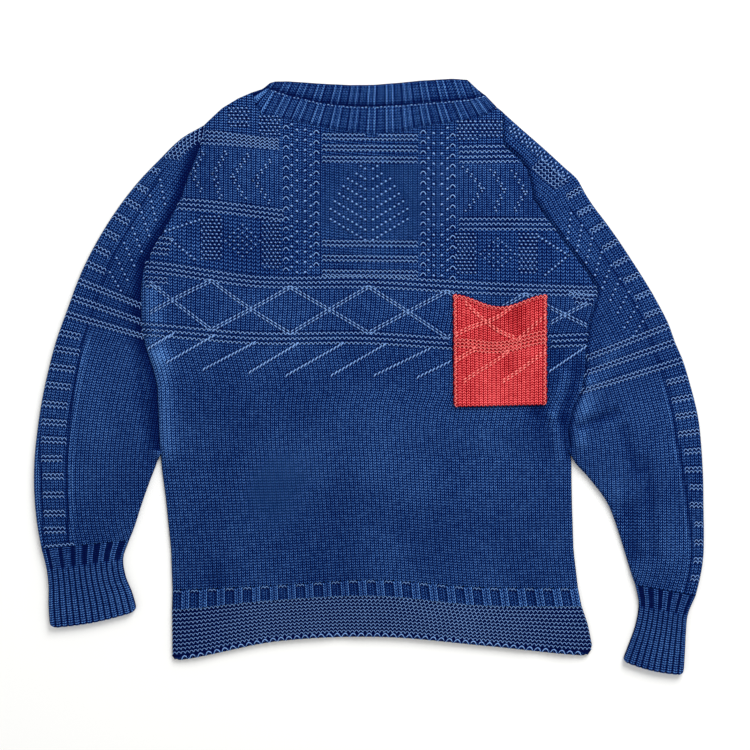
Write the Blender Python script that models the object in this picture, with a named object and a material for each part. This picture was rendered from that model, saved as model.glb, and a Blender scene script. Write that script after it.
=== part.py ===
"""Gansey-style crewneck sweater, laid flat on a surface.

Two body layers, two flattened sleeve tubes, cuffs, neckband halves, patterned hem bands,
garter welts and a patch pocket. Tables are in millimetres, with +Y towards the neck.
"""
import math

import bpy

MM = 0.001

# Knitted cloth, as laid
WALL = 2.6              # thickness of the heavy cotton knit
SEAM_GAP = 0.3          # clearance between pieces that meet
HALF_GAP = 0.2          # each side of a sloping seam
COURSE_GAP = 0.45       # clearance along a curved course, whose two sides have their own points
UNDER_RIM = 4.9         # height of the upper layer at its edge
UPPER_TOP = 6.9         # height of the upper layer away from its edges
RIM_WIDTH = 34.0        # how far in from an edge the upper layer rises
SLEEVE_TOP = 7.4        # height of a flattened sleeve
FOLD_RADIUS = 3.4       # roundness of a sleeve's folded edge
BAND_RISE = 0.9         # how far a garter band stands proud
RIB_RISE = 1.1          # how far a rib stands proud
SLOT_RIB_RISE = 1.2     # the upright cells above the welt
GARTER_RISE = 0.8       # the ridges of the welt
POCKET_GAPE = 2.6       # how far the pocket's mouth stands open

HEM_CELLS = 23
NECK_RIBS = 13
CUFF_RIBS = 14
WELT_RIDGES = 10

# Body outline, side seams and armhole seams: (x, y), from the shoulder down
LEFT_EDGE = [
    (-196.8, 302.3), (-199.8, 282.6), (-208.2, 261.0), (-217.2, 238.2), (-225.6, 213.0),
    (-238.2, 189.0), (-259.3, 150.6), (-270.0, 129.0), (-273.6, 100.2), (-273.0, 61.8),
    (-268.2, 36.6), (-259.1, 10.2), (-253.8, -11.4), (-252.0, -54.6), (-250.8, -81.0),
    (-247.8, -112.2), (-243.0, -148.2), (-237.0, -208.2), (-235.2, -256.2), (-235.8, -280.2),
    (-235.2, -341.4),
]
RIGHT_EDGE = [
    (161.4, 317.4), (161.4, 295.8), (162.6, 276.6), (180.6, 262.2), (191.4, 247.8),
    (195.6, 231.0), (198.6, 211.8), (211.8, 193.8), (225.0, 175.8), (235.8, 160.2),
    (249.0, 143.4), (263.4, 124.2), (274.8, 103.8), (274.2, 91.8), (265.8, 65.4),
    (261.6, 36.6), (260.4, 7.8), (256.2, -17.4), (245.4, -37.8), (240.0, -61.8),
    (241.2, -83.4), (243.6, -102.6), (243.6, -124.2), (244.2, -154.2), (246.0, -208.2),
    (251.4, -253.8), (255.6, -275.4), (263.4, -298.2), (268.2, -322.2), (265.8, -335.4),
]

# Courses of the body: name, then y at the left edge, quarter, middle, three quarters, right edge
COURSES = {
    "neck_bars_top": (294.6, 285.0, 288.6, 276.6, 276.6),
    "neck_bars_foot": (280.2, 273.0, 259.8, 257.4, 258.6),
    "yoke_band_top": (213.0, 201.0, 185.4, 189.0, 189.0),
    "yoke_band_foot": (202.2, 190.2, 173.4, 177.0, 177.0),
    "upper_band_top": (137.4, 119.4, 119.4, 112.2, 107.4),
    "upper_band_foot": (126.6, 108.6, 107.4, 100.2, 97.8),
    "lower_band_top": (63.0, 52.2, 52.2, 45.0, 51.0),
    "lower_band_foot": (49.8, 40.2, 40.2, 33.0, 37.8),
    "plain_a": (-52.2, -55.8, -54.6, -61.8, -60.6),
    "underarm": (-90.6, -91.5, -92.0, -96.0, -97.8),
    "plain_b": (-154.2, -151.8, -149.4, -156.6, -156.6),
    "cells_top": (-256.2, -250.8, -244.2, -252.6, -253.8),
    "cells_foot": (-280.2, -268.5, -263.5, -274.8, -276.1),
    "hem": (-341.4, -318.0, -312.8, -323.4, -335.4),
}
RAISED_BANDS = ["neck_bars", "yoke_band", "upper_band", "lower_band"]
BAND_SHOULDER = 2.0     # width of the slope at a raised band's edge
# Plain courses between two named ones: (upper course, lower course, how many)
PLAIN_COURSES = [
    ("neck_bars_foot", "yoke_band_top", 2), ("yoke_band_foot", "upper_band_top", 2),
    ("upper_band_foot", "lower_band_top", 1), ("lower_band_foot", "plain_a", 2),
    ("plain_a", "underarm", 1), ("underarm", "plain_b", 1), ("plain_b", "cells_top", 2),
]

# Neck: x, y of the front seam, then x, y of the front band's edge, then y of the back
# seam, then x, y of the back band's edge
NECK = [
    (-139.8, 340.8, -123.0, 346.2, 340.8, -123.0, 346.8),
    (-135.0, 327.0, -118.0, 344.5, 337.0, -119.0, 352.6),
    (-127.8, 313.8, -108.0, 341.0, 331.8, -112.0, 354.4),
    (-106.2, 309.6, -94.2, 336.6, 327.6, -97.0, 354.4),
    (-90.6, 307.8, -82.0, 334.0, 326.2, -84.0, 353.6),
    (-55.8, 299.4, -55.8, 327.6, 324.6, -55.8, 351.6),
    (-22.2, 293.4, -22.0, 324.0, 323.6, -22.2, 350.0),
    (5.4, 291.4, 5.4, 323.6, 323.4, 5.4, 350.2),
    (40.2, 293.8, 40.2, 325.6, 323.9, 40.2, 353.0),
    (63.0, 300.0, 63.0, 327.4, 324.6, 61.0, 355.2),
    (109.8, 306.6, 109.8, 331.2, 327.0, 100.0, 357.6),
    (130.2, 310.9, 124.8, 333.0, 325.4, 119.0, 356.4),
    (145.8, 317.4, 134.0, 335.4, 323.7, 130.0, 346.0),
    (154.2, 322.8, 139.8, 337.8, 322.8, 139.8, 338.4),
]
# The shoulder's own slope, left and right of the neck: (x, y)
SHOULDER_LEFT = [(-196.8, 302.3), (-176.0, 321.6), (-157.0, 333.2)]
SHOULDER_RIGHT = [(161.4, 317.4)]
EXTRA_COLUMNS = [-73.0, -39.0, -8.0, 23.0, 86.0]   # between neck stations, at the neck's height
EDGE_COLUMN = 3.0       # the first and last columns, in from the body's edge

# Sleeves: x, y of the outer fold, then x, y of the inner fold, from the armhole to the cuff
LEFT_SLEEVE = [
    (-196.8, 302.3, -249.9, -90.6), (-223.8, 286.8, -252.6, -95.4),
    (-250.2, 261.6, -253.4, -99.0), (-285.0, 223.8, -254.4, -102.6),
    (-316.2, 179.4, -255.9, -107.4), (-343.8, 127.8, -259.2, -115.8),
    (-366.6, 67.8, -263.4, -127.8), (-384.6, 7.8, -268.2, -141.0),
    (-396.6, -52.2, -273.0, -156.6), (-402.0, -106.2, -278.4, -172.2),
    (-400.8, -154.2, -283.2, -185.4), (-393.0, -207.0, -287.4, -196.2),
]
RIGHT_SLEEVE = [
    (161.4, 317.4, 243.3, -97.8), (184.2, 297.0, 248.2, -100.6),
    (213.0, 271.8, 251.2, -104.0), (251.4, 235.8, 253.8, -107.6),
    (282.6, 190.2, 257.4, -112.6), (316.2, 139.8, 262.2, -118.6),
    (345.0, 91.8, 268.2, -125.4), (369.0, 41.4, 275.4, -134.0),
    (385.8, -7.8, 285.0, -148.0), (396.6, -52.2, 293.4, -166.0),
    (401.4, -102.6, 301.8, -191.4), (402.6, -160.2, 309.0, -215.4),
    (402.0, -220.2, 315.6, -237.0), (393.0, -263.4, 320.4, -250.2),
]
LEFT_CUFF = [
    (-393.0, -207.0, -287.4, -196.2), (-387.0, -231.0, -294.6, -217.8),
    (-384.6, -252.6, -292.2, -238.2), (-384.6, -275.4, -283.8, -259.8),
    (-382.8, -301.8, -277.8, -281.4),
]
RIGHT_CUFF = [
    (393.0, -263.4, 320.4, -250.2), (384.0, -285.0, 324.6, -273.0),
    (381.6, -306.6, 321.0, -297.0), (380.4, -330.6, 313.2, -319.8),
    (378.6, -358.2, 304.8, -341.4),
]
ARMHOLE_EASE = [0.0, 0.03, 0.1, 0.22, 0.4, 0.6, 0.8, 0.93]   # how straight each section is, then 1

# Folds: x, y at each end, width, height (a trough is negative)
FOLDS = [
    (-262.0, 108.0, -254.0, 24.0, 13.0, 2.6),       # left body edge, rolled over the armhole
    (-247.0, 20.0, -243.0, -88.0, 12.0, 2.2),
    (-286.0, 90.0, -266.0, -50.0, 9.0, -1.5),       # sleeve hollow beside it
    (-265.0, -62.0, -262.0, -100.0, 7.0, -1.2),
    (252.0, 12.0, 234.0, -50.0, 9.0, -1.7),         # right underarm crease
    (234.0, -50.0, 241.0, -96.0, 7.0, -1.6),
    (262.0, -6.0, 254.0, -78.0, 9.0, 1.6),
    (254.0, -60.0, 296.0, -43.0, 6.0, -1.5),        # right sleeve creases
    (307.0, -64.0, 322.0, -112.0, 9.0, -1.5),
    (332.0, -148.0, 318.0, -208.0, 9.0, -1.5),
    (292.0, 30.0, 262.0, -40.0, 12.0, 1.4),
    (-176.0, -316.0, -184.0, -240.0, 12.0, -1.0),   # soft waves of the welt
    (-34.0, -308.0, -28.0, -250.0, 14.0, -1.0),
    (205.0, -322.0, 190.0, -262.0, 14.0, -1.0),
    (-206.0, 176.0, -150.0, 150.0, 16.0, -0.8),     # yoke, beside the left armhole
    (180.0, 236.0, 214.0, 150.0, 14.0, -0.9),
    (-120.0, -90.0, 60.0, -120.0, 34.0, 0.6),       # broad puff of the body
    (-350.0, 40.0, -318.0, -110.0, 24.0, 0.7),
]

# Pocket corners: top left, foot left, foot right, top right, and the sag of its mouth
POCKET_TOP_LEFT = (101.4, 98.6)
POCKET_FOOT_LEFT = (102.1, -36.4)
POCKET_FOOT_RIGHT = (213.9, -33.8)
POCKET_TOP_RIGHT = (213.9, 98.2)
POCKET_MOUTH_SAG = 14.6
POCKET_COLUMNS = 13
POCKET_ROWS = 14


def at_y(edge, y):
    """x of an edge at a height, along the straight runs between its points."""
    for (x0, y0), (x1, y1) in zip(edge, edge[1:]):
        if y >= y1:
            return x0 + (x1 - x0) * (y0 - y) / (y0 - y1)
    return edge[-1][0]


def through_five(values, u):
    """A smooth course through five evenly spaced values."""
    place = min(max(u, 0.0), 1.0) * 4.0
    i = min(int(place), 3)
    t = place - i
    before = values[max(i - 1, 0)]
    after = values[min(i + 2, 4)]
    start, end = values[i], values[i + 1]
    slope_start = (end - before) * 0.5
    slope_end = (after - start) * 0.5
    return ((2 * t**3 - 3 * t**2 + 1) * start + (t**3 - 2 * t**2 + t) * slope_start
            + (3 * t**2 - 2 * t**3) * end + (t**3 - t**2) * slope_end)


def mix(a, b, t):
    return a + (b - a) * t


def soft_step(t):
    t = min(max(t, 0.0), 1.0)
    return t * t * (3.0 - 2.0 * t)


def fold_height(x, y):
    """Height that the folds add at a place."""
    height = 0.0
    for x0, y0, x1, y1, width, rise in FOLDS:
        dx, dy = x1 - x0, y1 - y0
        along = min(max(((x - x0) * dx + (y - y0) * dy) / (dx * dx + dy * dy), 0.0), 1.0)
        away = math.hypot(x - x0 - along * dx, y - y0 - along * dy) / width
        height += rise * math.exp(-away * away)
    return height


def upper_height(x, y):
    """Top of the upper body layer: low at its edges, full inside, with the folds."""
    inside = min(x - at_y(LEFT_EDGE, y), at_y(RIGHT_EDGE, y) - x)
    rise = math.sqrt(soft_step(inside / RIM_WIDTH))
    folds = fold_height(x, y) * soft_step((inside + 4.0) / 10.0)
    return max(mix(UNDER_RIM, UPPER_TOP, rise) + folds, WALL + SEAM_GAP + 2.0)


def sleeve_height(x, y):
    """Top of a flattened sleeve away from its folded edges."""
    return max(SLEEVE_TOP + fold_height(x, y), 2.0 * WALL + 0.3)


def neck_polyline(back):
    seam = [(row[0], row[4] if back else row[1]) for row in NECK]
    return SHOULDER_LEFT + seam + SHOULDER_RIGHT


def on_polyline_at_x(points, x):
    for (x0, y0), (x1, y1) in zip(points, points[1:]):
        if x <= x1:
            return mix(y0, y1, (x - x0) / (x1 - x0))
    return points[-1][1]


def body_columns():
    """Shares of the body's width at which its columns stand."""
    left, right = SHOULDER_LEFT[0][0], SHOULDER_RIGHT[0][0]
    stations = [p[0] for p in neck_polyline(False)] + EXTRA_COLUMNS
    stations += [left + EDGE_COLUMN, right - EDGE_COLUMN]
    return sorted((x - left) / (right - left) for x in stations)


def body_courses():
    """Courses of the front from the neck to the cells: (five heights, how far raised)."""
    names = list(COURSES)[:list(COURSES).index("cells_top") + 1]
    between = {(a, b): count for a, b, count in PLAIN_COURSES}
    courses = []
    for name, following in zip(names, names[1:] + [None]):
        heights = COURSES[name]
        band = name.rsplit("_", 1)[0]
        courses.append((heights, 0.0, True))
        if band in RAISED_BANDS:
            step = -BAND_SHOULDER if name.endswith("top") else BAND_SHOULDER
            inner = (tuple(h + step for h in heights), BAND_RISE, False)
            courses.insert(len(courses) - (0 if name.endswith("top") else 1), inner)
        count = between.get((name, following), 0)
        for i in range(1, count + 1):
            share = i / (count + 1)
            heights_between = tuple(mix(a, b, share) for a, b in zip(heights, COURSES[following]))
            courses.append((heights_between, 0.0, True))
    return courses


def seam_edges():
    """The body's edges through its shared courses alone, where the sleeves meet it."""
    edges = []
    for edge, index in ((LEFT_EDGE, 0), (RIGHT_EDGE, 4)):
        heights = [edge[0][1]] + [h[index] for h, _, shared in body_courses() if shared]
        edges.append([(at_y(edge, y), y) for y in heights])
    return edges


def body_point(heights, u, inset, edges=(LEFT_EDGE, RIGHT_EDGE)):
    """A point of the body on a course, at a share of its width."""
    left = at_y(edges[0], heights[0]) + inset
    right = at_y(edges[1], heights[4]) - inset
    return mix(left, right, u), through_five(heights, u)


def over_pocket(x, y):
    return 84.0 < x < 232.0 and -60.0 < y < 120.0


def loft(name, outer_rows, inner_rows, closed):
    """A closed wall between two grids of the same size.

    Open grids are two faces of a flat panel. Closed grids are the rings of a tube.
    """
    rows, count = len(outer_rows), len(outer_rows[0])
    points = [p for row in outer_rows for p in row] + [p for row in inner_rows for p in row]
    vertices = [(x * MM, y * MM, z * MM) for x, y, z in points]
    shift = rows * count
    faces = []
    steps = count if closed else count - 1
    for i in range(rows - 1):
        for j in range(steps):
            k = (j + 1) % count
            a, b, c, d = i * count + j, i * count + k, (i + 1) * count + k, (i + 1) * count + j
            faces.append((a, d, c, b))
            faces.append((shift + a, shift + b, shift + c, shift + d))
    for i in (0, rows - 1):
        for j in range(steps):
            k = (j + 1) % count
            a, b = i * count + j, i * count + k
            face = (a, b, shift + b, shift + a)
            faces.append(face if i == 0 else face[::-1])
    if not closed:
        for j in (0, count - 1):
            for i in range(rows - 1):
                a, d = i * count + j, (i + 1) * count + j
                face = (a, shift + a, shift + d, d)
                faces.append(face if j == 0 else face[::-1])
    mesh = bpy.data.meshes.new(name)
    mesh.from_pydata(vertices, [], faces)
    mesh.validate()
    mesh.shade_smooth()
    mesh.set_sharp_from_angle(angle=math.radians(50.0))
    obj = bpy.data.objects.new(name, mesh)
    bpy.context.scene.collection.objects.link(obj)
    return obj


def panel(name, top_rows, under_rows):
    return loft(name, top_rows, under_rows, closed=False)


def make_front(columns):
    neck = neck_polyline(False)
    width_left, width_right = neck[0][0], neck[-1][0]
    top_rows, under_rows = [], []
    plan_rows = [[(mix(width_left, width_right, u), 0.0) for u in columns]]
    plan_rows[0] = [(x, on_polyline_at_x(neck, x)) for x, _ in plan_rows[0]]
    raises = [0.0]
    edges = seam_edges()
    for heights, rise, _ in body_courses():
        plan_rows.append([body_point(heights, u, HALF_GAP, edges) for u in columns])
        raises.append(rise)
    plan_rows[0][0] = (neck[0][0] + HALF_GAP, neck[0][1])
    plan_rows[0][-1] = (neck[-1][0] - HALF_GAP, neck[-1][1])
    for row, rise in zip(plan_rows, raises):
        top = []
        for x, y in row:
            band = 0.0 if over_pocket(x, y) else rise
            top.append((x, y, upper_height(x, y) + band))
        top_rows.append(top)
        under_rows.append([(x, y, max(upper_height(x, y) - WALL, WALL + SEAM_GAP)) for x, y in row])
    for top, under in zip(top_rows, under_rows):
        for end in (0, -1):
            under[end] = (under[end][0], under[end][1], WALL + SEAM_GAP)
    return panel("front", top_rows, under_rows)


def make_back(columns):
    neck = neck_polyline(True)
    coarse = [u for i, u in enumerate(columns) if i % 2 == 0 or i in (1, len(columns) - 2)]
    stations = {round((p[0] - neck[0][0]) / (neck[-1][0] - neck[0][0]), 6) for p in neck}
    used = [u for u in columns if u in coarse or round(u, 6) in stations]
    rows = [[(mix(neck[0][0], neck[-1][0], u), 0.0) for u in used]]
    rows[0] = [(x, on_polyline_at_x(neck, x)) for x, _ in rows[0]]
    rows[0][0] = (neck[0][0] + HALF_GAP, neck[0][1])
    rows[0][-1] = (neck[-1][0] - HALF_GAP, neck[-1][1])
    rows += [[body_point(heights, u, HALF_GAP) for u in used]
             for heights, _, shared in body_courses() if shared]
    top_rows = [[(x, y, WALL) for x, y in row] for row in rows]
    under_rows = [[(x, y, 0.0) for x, y in row] for row in rows]
    return panel("back", top_rows, under_rows)


def hem_course(share):
    """A course between the foot of the cells and the hem edge."""
    return tuple(mix(a, b, share) for a, b in zip(COURSES["cells_foot"], COURSES["hem"]))


def make_hem_band_front():
    columns = [(cell + share) / HEM_CELLS for cell in range(HEM_CELLS) for share in (0.0, 0.28, 0.8)]
    columns.append(1.0)
    lifts = [0.0] + [SLOT_RIB_RISE, SLOT_RIB_RISE, 0.0] * HEM_CELLS
    lifts = lifts[:len(columns)]
    upper = tuple(h - COURSE_GAP for h in COURSES["cells_top"])
    lower = COURSES["cells_foot"]
    top_rows, under_rows = [], []
    for share, rise in ((0.0, 0.45), (0.3, 1.0), (0.75, 1.0), (1.0, 0.3)):
        heights = tuple(mix(a, b, share) for a, b in zip(upper, lower))
        row = [body_point(heights, u, 0.0) for u in columns]
        top_rows.append([(x, y, upper_height(x, y) + rise * lift)
                         for (x, y), lift in zip(row, lifts)])
        under_rows.append([(x, y, max(upper_height(x, y) - WALL, WALL + SEAM_GAP))
                           for x, y in row])
    return panel("hem_band_front", top_rows, under_rows)


def make_welt_front():
    columns = [0.0, 0.012] + [i / 11 for i in range(1, 11)] + [0.988, 1.0]
    top_rows, under_rows = [], []
    for step in range(2 * WELT_RIDGES + 1):
        share = step / (2 * WELT_RIDGES)
        heights = hem_course(share)
        if step == 0:
            heights = tuple(h - COURSE_GAP for h in heights)
        ridge = GARTER_RISE if step % 2 else 0.0
        row = [body_point(heights, u, 0.0) for u in columns]
        top_rows.append([(x, y, upper_height(x, y) + ridge) for x, y in row])
        under_rows.append([(x, y, max(upper_height(x, y) - WALL, WALL + SEAM_GAP))
                           for x, y in row])
    return panel("welt_front", top_rows, under_rows)


def make_flat_strip(name, upper, lower, columns, rows):
    """A plain strip of the back, flat on the surface."""
    top_rows, under_rows = [], []
    for i in range(rows + 1):
        heights = tuple(mix(a, b, i / rows) for a, b in zip(upper, lower))
        row = [body_point(heights, j / columns, 0.0) for j in range(columns + 1)]
        top_rows.append([(x, y, WALL) for x, y in row])
        under_rows.append([(x, y, 0.0) for x, y in row])
    return panel(name, top_rows, under_rows)


def lengths_along(points):
    total = [0.0]
    for a, b in zip(points, points[1:]):
        total.append(total[-1] + math.dist(a, b))
    return total


def along_polyline(points, share):
    """The point at a share of a polyline's length."""
    total = lengths_along(points)
    goal = share * total[-1]
    for i in range(len(points) - 1):
        if goal <= total[i + 1] + 1e-9:
            t = (goal - total[i]) / (total[i + 1] - total[i])
            return mix(points[i][0], points[i + 1][0], t), mix(points[i][1], points[i + 1][1], t)
    return points[-1]


def set_off(points, distance):
    """The points moved to the left of their direction of travel."""
    moved = []
    for i, (x, y) in enumerate(points):
        ax, ay = points[max(i - 1, 0)]
        bx, by = points[min(i + 1, len(points) - 1)]
        length = math.hypot(bx - ax, by - ay)
        moved.append((x - (by - ay) / length * distance, y + (bx - ax) / length * distance))
    return moved


def make_neckband(name, seam, edge, base, rise, under):
    """Half of the ribbed neckband, between its seam and its free edge."""
    shares = [(rib + part) / NECK_RIBS for rib in range(NECK_RIBS) for part in (0.0, 0.3, 0.78)]
    shares.append(1.0)
    lifts = ([0.0, rise, rise] * NECK_RIBS) + [0.0]
    clear_seam = set_off(seam, COURSE_GAP)
    seam_row = [along_polyline(clear_seam, s) for s in shares]
    edge_row = [along_polyline(edge, s) for s in shares]
    top_rows, under_rows = [], []
    for share, lift_share, lower in ((0.0, 0.6, 0.3), (0.5, 1.0, 0.0), (1.0, 0.9, 0.7)):
        row = [(mix(a[0], b[0], share), mix(a[1], b[1], share)) for a, b in zip(seam_row, edge_row)]
        top_rows.append([(x, y, base - lower + lift * lift_share)
                         for (x, y), lift in zip(row, lifts)])
        under_rows.append([(x, y, under) for x, y in row])
    top_rows.reverse()
    under_rows.reverse()
    return panel(name, top_rows, under_rows)


def inset_place(share, inset, span):
    """A share of a path, kept clear of both ends and unmoved away from them."""
    return share + inset / span * ((1.0 - share) ** 16 - share ** 16)


def tube_ring(path, height, drop, wall_inset, lifts, under_shares):
    """One ring of a flattened tube: over the top along a path, back along the underside.

    path: the ring's line in plan, from the outer fold to the inner fold
    wall_inset: how far inside the outer skin the ring lies
    """
    span = lengths_along(path)[-1]
    top, under = [], []
    low = wall_inset
    ends = wall_inset
    middle = FOLD_RADIUS
    for share, lift in lifts:
        inset = ends + (2.2 if wall_inset == 0.0 else 0.9)
        x, y = along_polyline(path, inset_place(share, inset, span))
        full = height(x, y)
        edge = min(share, 1.0 - share) * span
        ceiling = full - drop * math.exp(-(edge / 4.0) ** 2) - wall_inset + lift
        top.append((x, y, max(ceiling, wall_inset + 0.3)))
    for share in reversed(under_shares):
        inset = ends + (2.2 if wall_inset == 0.0 else 0.9)
        x, y = along_polyline(path, inset_place(share, inset, span))
        under.append((x, y, low))
    start = along_polyline(path, ends / span)
    finish = along_polyline(path, 1.0 - ends / span)
    return ([(start[0], start[1], middle - 0.4)] + top
            + [(finish[0], finish[1], middle - 0.4)] + under)


def sleeve_paths(table, edge, side):
    """Plan lines across a sleeve: the first follows the armhole, the rest grow straight."""
    top_y, under_y = table[0][1], table[0][3]
    heights = [top_y]
    index = 0 if side < 0 else 4
    heights += [h[index] for h, _, shared in body_courses() if shared and h[index] >= under_y - 0.1]
    armhole = [(at_y(edge, y) + side * HALF_GAP, y) for y in heights]
    shares = [d / lengths_along(armhole)[-1] for d in lengths_along(armhole)]
    first = (armhole[0], armhole[-1])
    bow = [(p[0] - mix(first[0][0], first[1][0], s), p[1] - mix(first[0][1], first[1][1], s))
           for p, s in zip(armhole, shares)]
    paths = []
    for i, (x0, y0, x1, y1) in enumerate(table):
        straight = ARMHOLE_EASE[i] if i < len(ARMHOLE_EASE) else 1.0
        if i == 0:
            paths.append(armhole)
            continue
        line = []
        for (bx, by), s in zip(bow, shares):
            keep = 1.0 - straight
            line.append((mix(x0, x1, s) + keep * bx, mix(y0, y1, s) + keep * by))
        paths.append(line)
    return paths, shares


def make_sleeve(name, table, edge, side):
    paths, shares = sleeve_paths(table, edge, side)
    cuff_end = paths[-1]
    before = paths[-2]
    reach = math.dist(before[0], cuff_end[0])
    back_off = SEAM_GAP / reach
    paths[-1] = [(mix(c[0], b[0], back_off), mix(c[1], b[1], back_off))
                 for b, c in zip(before, cuff_end)]
    inner_shares = shares[1:-1]
    tops = [(0.0, 0.0)] + [(s, 0.0) for s in inner_shares] + [(1.0, 0.0)]
    outer = [tube_ring(p, sleeve_height, 1.5, 0.0, tops, shares) for p in paths]
    inner = [tube_ring(p, sleeve_height, 0.6, WALL, tops, shares) for p in paths]
    if side > 0:
        outer = [ring[::-1] for ring in outer]
        inner = [ring[::-1] for ring in inner]
    return loft(name, outer, inner, closed=True)


def make_cuff(name, table, side):
    stations = [((rib + part) / CUFF_RIBS, lift) for rib in range(CUFF_RIBS)
                for part, lift in ((0.0, 0.0), (0.32, RIB_RISE), (0.78, RIB_RISE))]
    stations.append((1.0, 0.0))
    under_shares = [i / 10 for i in range(11)]
    outer, inner = [], []
    for i, (x0, y0, x1, y1) in enumerate(table):
        path = [(x0, y0), (x1, y1)]
        strength = 0.35 if i == 0 else 1.0
        ribbed = [(share, lift * strength) for share, lift in stations]
        plain = [(share, 0.0) for share, _ in stations]
        outer.append(tube_ring(path, sleeve_height, 1.5, 0.0, ribbed, under_shares))
        inner.append(tube_ring(path, sleeve_height, 0.6, WALL, plain, under_shares))
    if side > 0:
        outer = [ring[::-1] for ring in outer]
        inner = [ring[::-1] for ring in inner]
    return loft(name, outer, inner, closed=True)


def make_pocket():
    """The patch pocket, its skin made from the front's height, moved out."""
    top_rows, under_rows = [], []
    for i in range(POCKET_ROWS + 1):
        v = i / POCKET_ROWS
        top, under = [], []
        for j in range(POCKET_COLUMNS + 1):
            u = j / POCKET_COLUMNS
            head_x = mix(POCKET_TOP_LEFT[0], POCKET_TOP_RIGHT[0], u)
            head_y = mix(POCKET_TOP_LEFT[1], POCKET_TOP_RIGHT[1], u)
            head_y -= POCKET_MOUTH_SAG * math.sin(math.pi * u) ** 2
            foot_x = mix(POCKET_FOOT_LEFT[0], POCKET_FOOT_RIGHT[0], u)
            foot_y = mix(POCKET_FOOT_LEFT[1], POCKET_FOOT_RIGHT[1], u)
            x, y = mix(head_x, foot_x, v), mix(head_y, foot_y, v)
            ground = max(upper_height(x + dx, y + dy) for dx in (-9, 0, 9) for dy in (-9, 0, 9))
            gape = POCKET_GAPE * math.sin(math.pi * u) ** 2 * (1.0 - soft_step(v / 0.3))
            rolled = 0.5 * (v < 0.05 or v > 0.95 or j in (0, POCKET_COLUMNS))
            band = BAND_RISE * math.exp(-((v - 0.46 + 0.05 * u) / 0.07) ** 2)
            low = ground + SEAM_GAP + 0.1 + gape
            under.append((x, y, low))
            top.append((x, y, low + WALL + rolled + band))
        top_rows.append(top)
        under_rows.append(under)
    return panel("pocket", top_rows, under_rows)


def knit_material(name, colour):
    material = bpy.data.materials.new(name)
    material.use_nodes = True
    shader = material.node_tree.nodes["Principled BSDF"]
    shader.inputs["Base Color"].default_value = (*colour, 1.0)
    shader.inputs["Roughness"].default_value = 0.9
    shader.inputs["Metallic"].default_value = 0.0
    return material


def main():
    for obj in list(bpy.data.objects):
        bpy.data.objects.remove(obj, do_unlink=True)
    columns = body_columns()
    below_cells = tuple(h - COURSE_GAP for h in COURSES["cells_top"])
    below_foot = tuple(h - COURSE_GAP for h in COURSES["cells_foot"])
    front_seam = [(row[0], row[1]) for row in NECK]
    front_edge = [(row[2], row[3]) for row in NECK]
    back_seam = [(row[0], row[4]) for row in NECK]
    back_edge = [(row[5], row[6]) for row in NECK]
    over_back = WALL + RIB_RISE * 0.6 + SEAM_GAP
    pieces = [
        make_back(columns),
        make_front(columns),
        make_flat_strip("hem_band_back", below_cells, COURSES["cells_foot"], 14, 1),
        make_hem_band_front(),
        make_flat_strip("welt_back", below_foot, COURSES["hem"], 14, 2),
        make_welt_front(),
        make_sleeve("sleeve_left", LEFT_SLEEVE, LEFT_EDGE, -1),
        make_sleeve("sleeve_right", RIGHT_SLEEVE, RIGHT_EDGE, 1),
        make_cuff("cuff_left", LEFT_CUFF, -1),
        make_cuff("cuff_right", RIGHT_CUFF, 1),
        make_neckband("neckband_back", back_seam, back_edge, WALL, RIB_RISE * 0.5, 0.0),
        make_neckband("neckband_front", front_seam, front_edge, UPPER_TOP, RIB_RISE, over_back),
    ]
    indigo = knit_material("indigo_cotton_knit", (0.024, 0.075, 0.23))
    red = knit_material("red_cotton_knit", (0.74, 0.065, 0.06))
    for piece in pieces:
        piece.data.materials.append(indigo)
    pocket = make_pocket()
    pocket.data.materials.append(red)
    pieces.append(pocket)

    # The origin stands at the middle of the foot of the whole garment
    xs = [v.co.x for piece in pieces for v in piece.data.vertices]
    ys = [v.co.y for piece in pieces for v in piece.data.vertices]
    middle_x = (min(xs) + max(xs)) / 2.0
    middle_y = (min(ys) + max(ys)) / 2.0
    for piece in pieces:
        for vertex in piece.data.vertices:
            vertex.co.x -= middle_x
            vertex.co.y -= middle_y


main()
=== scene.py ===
import math

import bpy
import numpy as np
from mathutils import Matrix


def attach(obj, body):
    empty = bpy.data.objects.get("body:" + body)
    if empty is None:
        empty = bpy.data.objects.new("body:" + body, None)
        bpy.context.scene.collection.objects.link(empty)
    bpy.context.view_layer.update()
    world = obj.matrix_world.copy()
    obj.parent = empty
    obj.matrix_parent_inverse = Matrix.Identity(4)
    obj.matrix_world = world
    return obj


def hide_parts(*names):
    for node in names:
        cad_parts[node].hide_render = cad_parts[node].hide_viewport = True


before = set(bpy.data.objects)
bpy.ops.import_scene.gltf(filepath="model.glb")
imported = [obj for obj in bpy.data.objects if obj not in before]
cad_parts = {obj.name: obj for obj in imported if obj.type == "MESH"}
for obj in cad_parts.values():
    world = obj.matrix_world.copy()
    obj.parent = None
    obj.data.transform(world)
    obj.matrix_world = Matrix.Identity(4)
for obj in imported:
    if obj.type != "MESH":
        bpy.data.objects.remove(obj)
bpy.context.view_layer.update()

# Tables are in millimetres, with +Y towards the neck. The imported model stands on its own
# middle, so the tables' middle is taken off each point.
mm = 0.001
tableMiddle = (0.3, -0.3)

garment = {
    "stitchesAcross": 99,   # wales of the front
    "rowHeight": 3.12,
    "rimTop": 4.9,          # height of the upper layer at its edge
    "rimFoot": 2.2,         # and where its turned edge ends, on the layer beneath
    "upperTop": 6.9,        # and away from its edges
    "rimWidth": 34.0,
    "sleeveTop": 7.4,
    "underRoll": 3.4,       # how far in the sleeves' undersides roll up to their edges
    "sleeveWale": 5.04,
    "sleeveRow": 3.3,
    "knitDepth": 1.1,       # how deep the V stitches are worked
    "purlDip": 0.7,         # how far the ground drops round a purl loop
}

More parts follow.
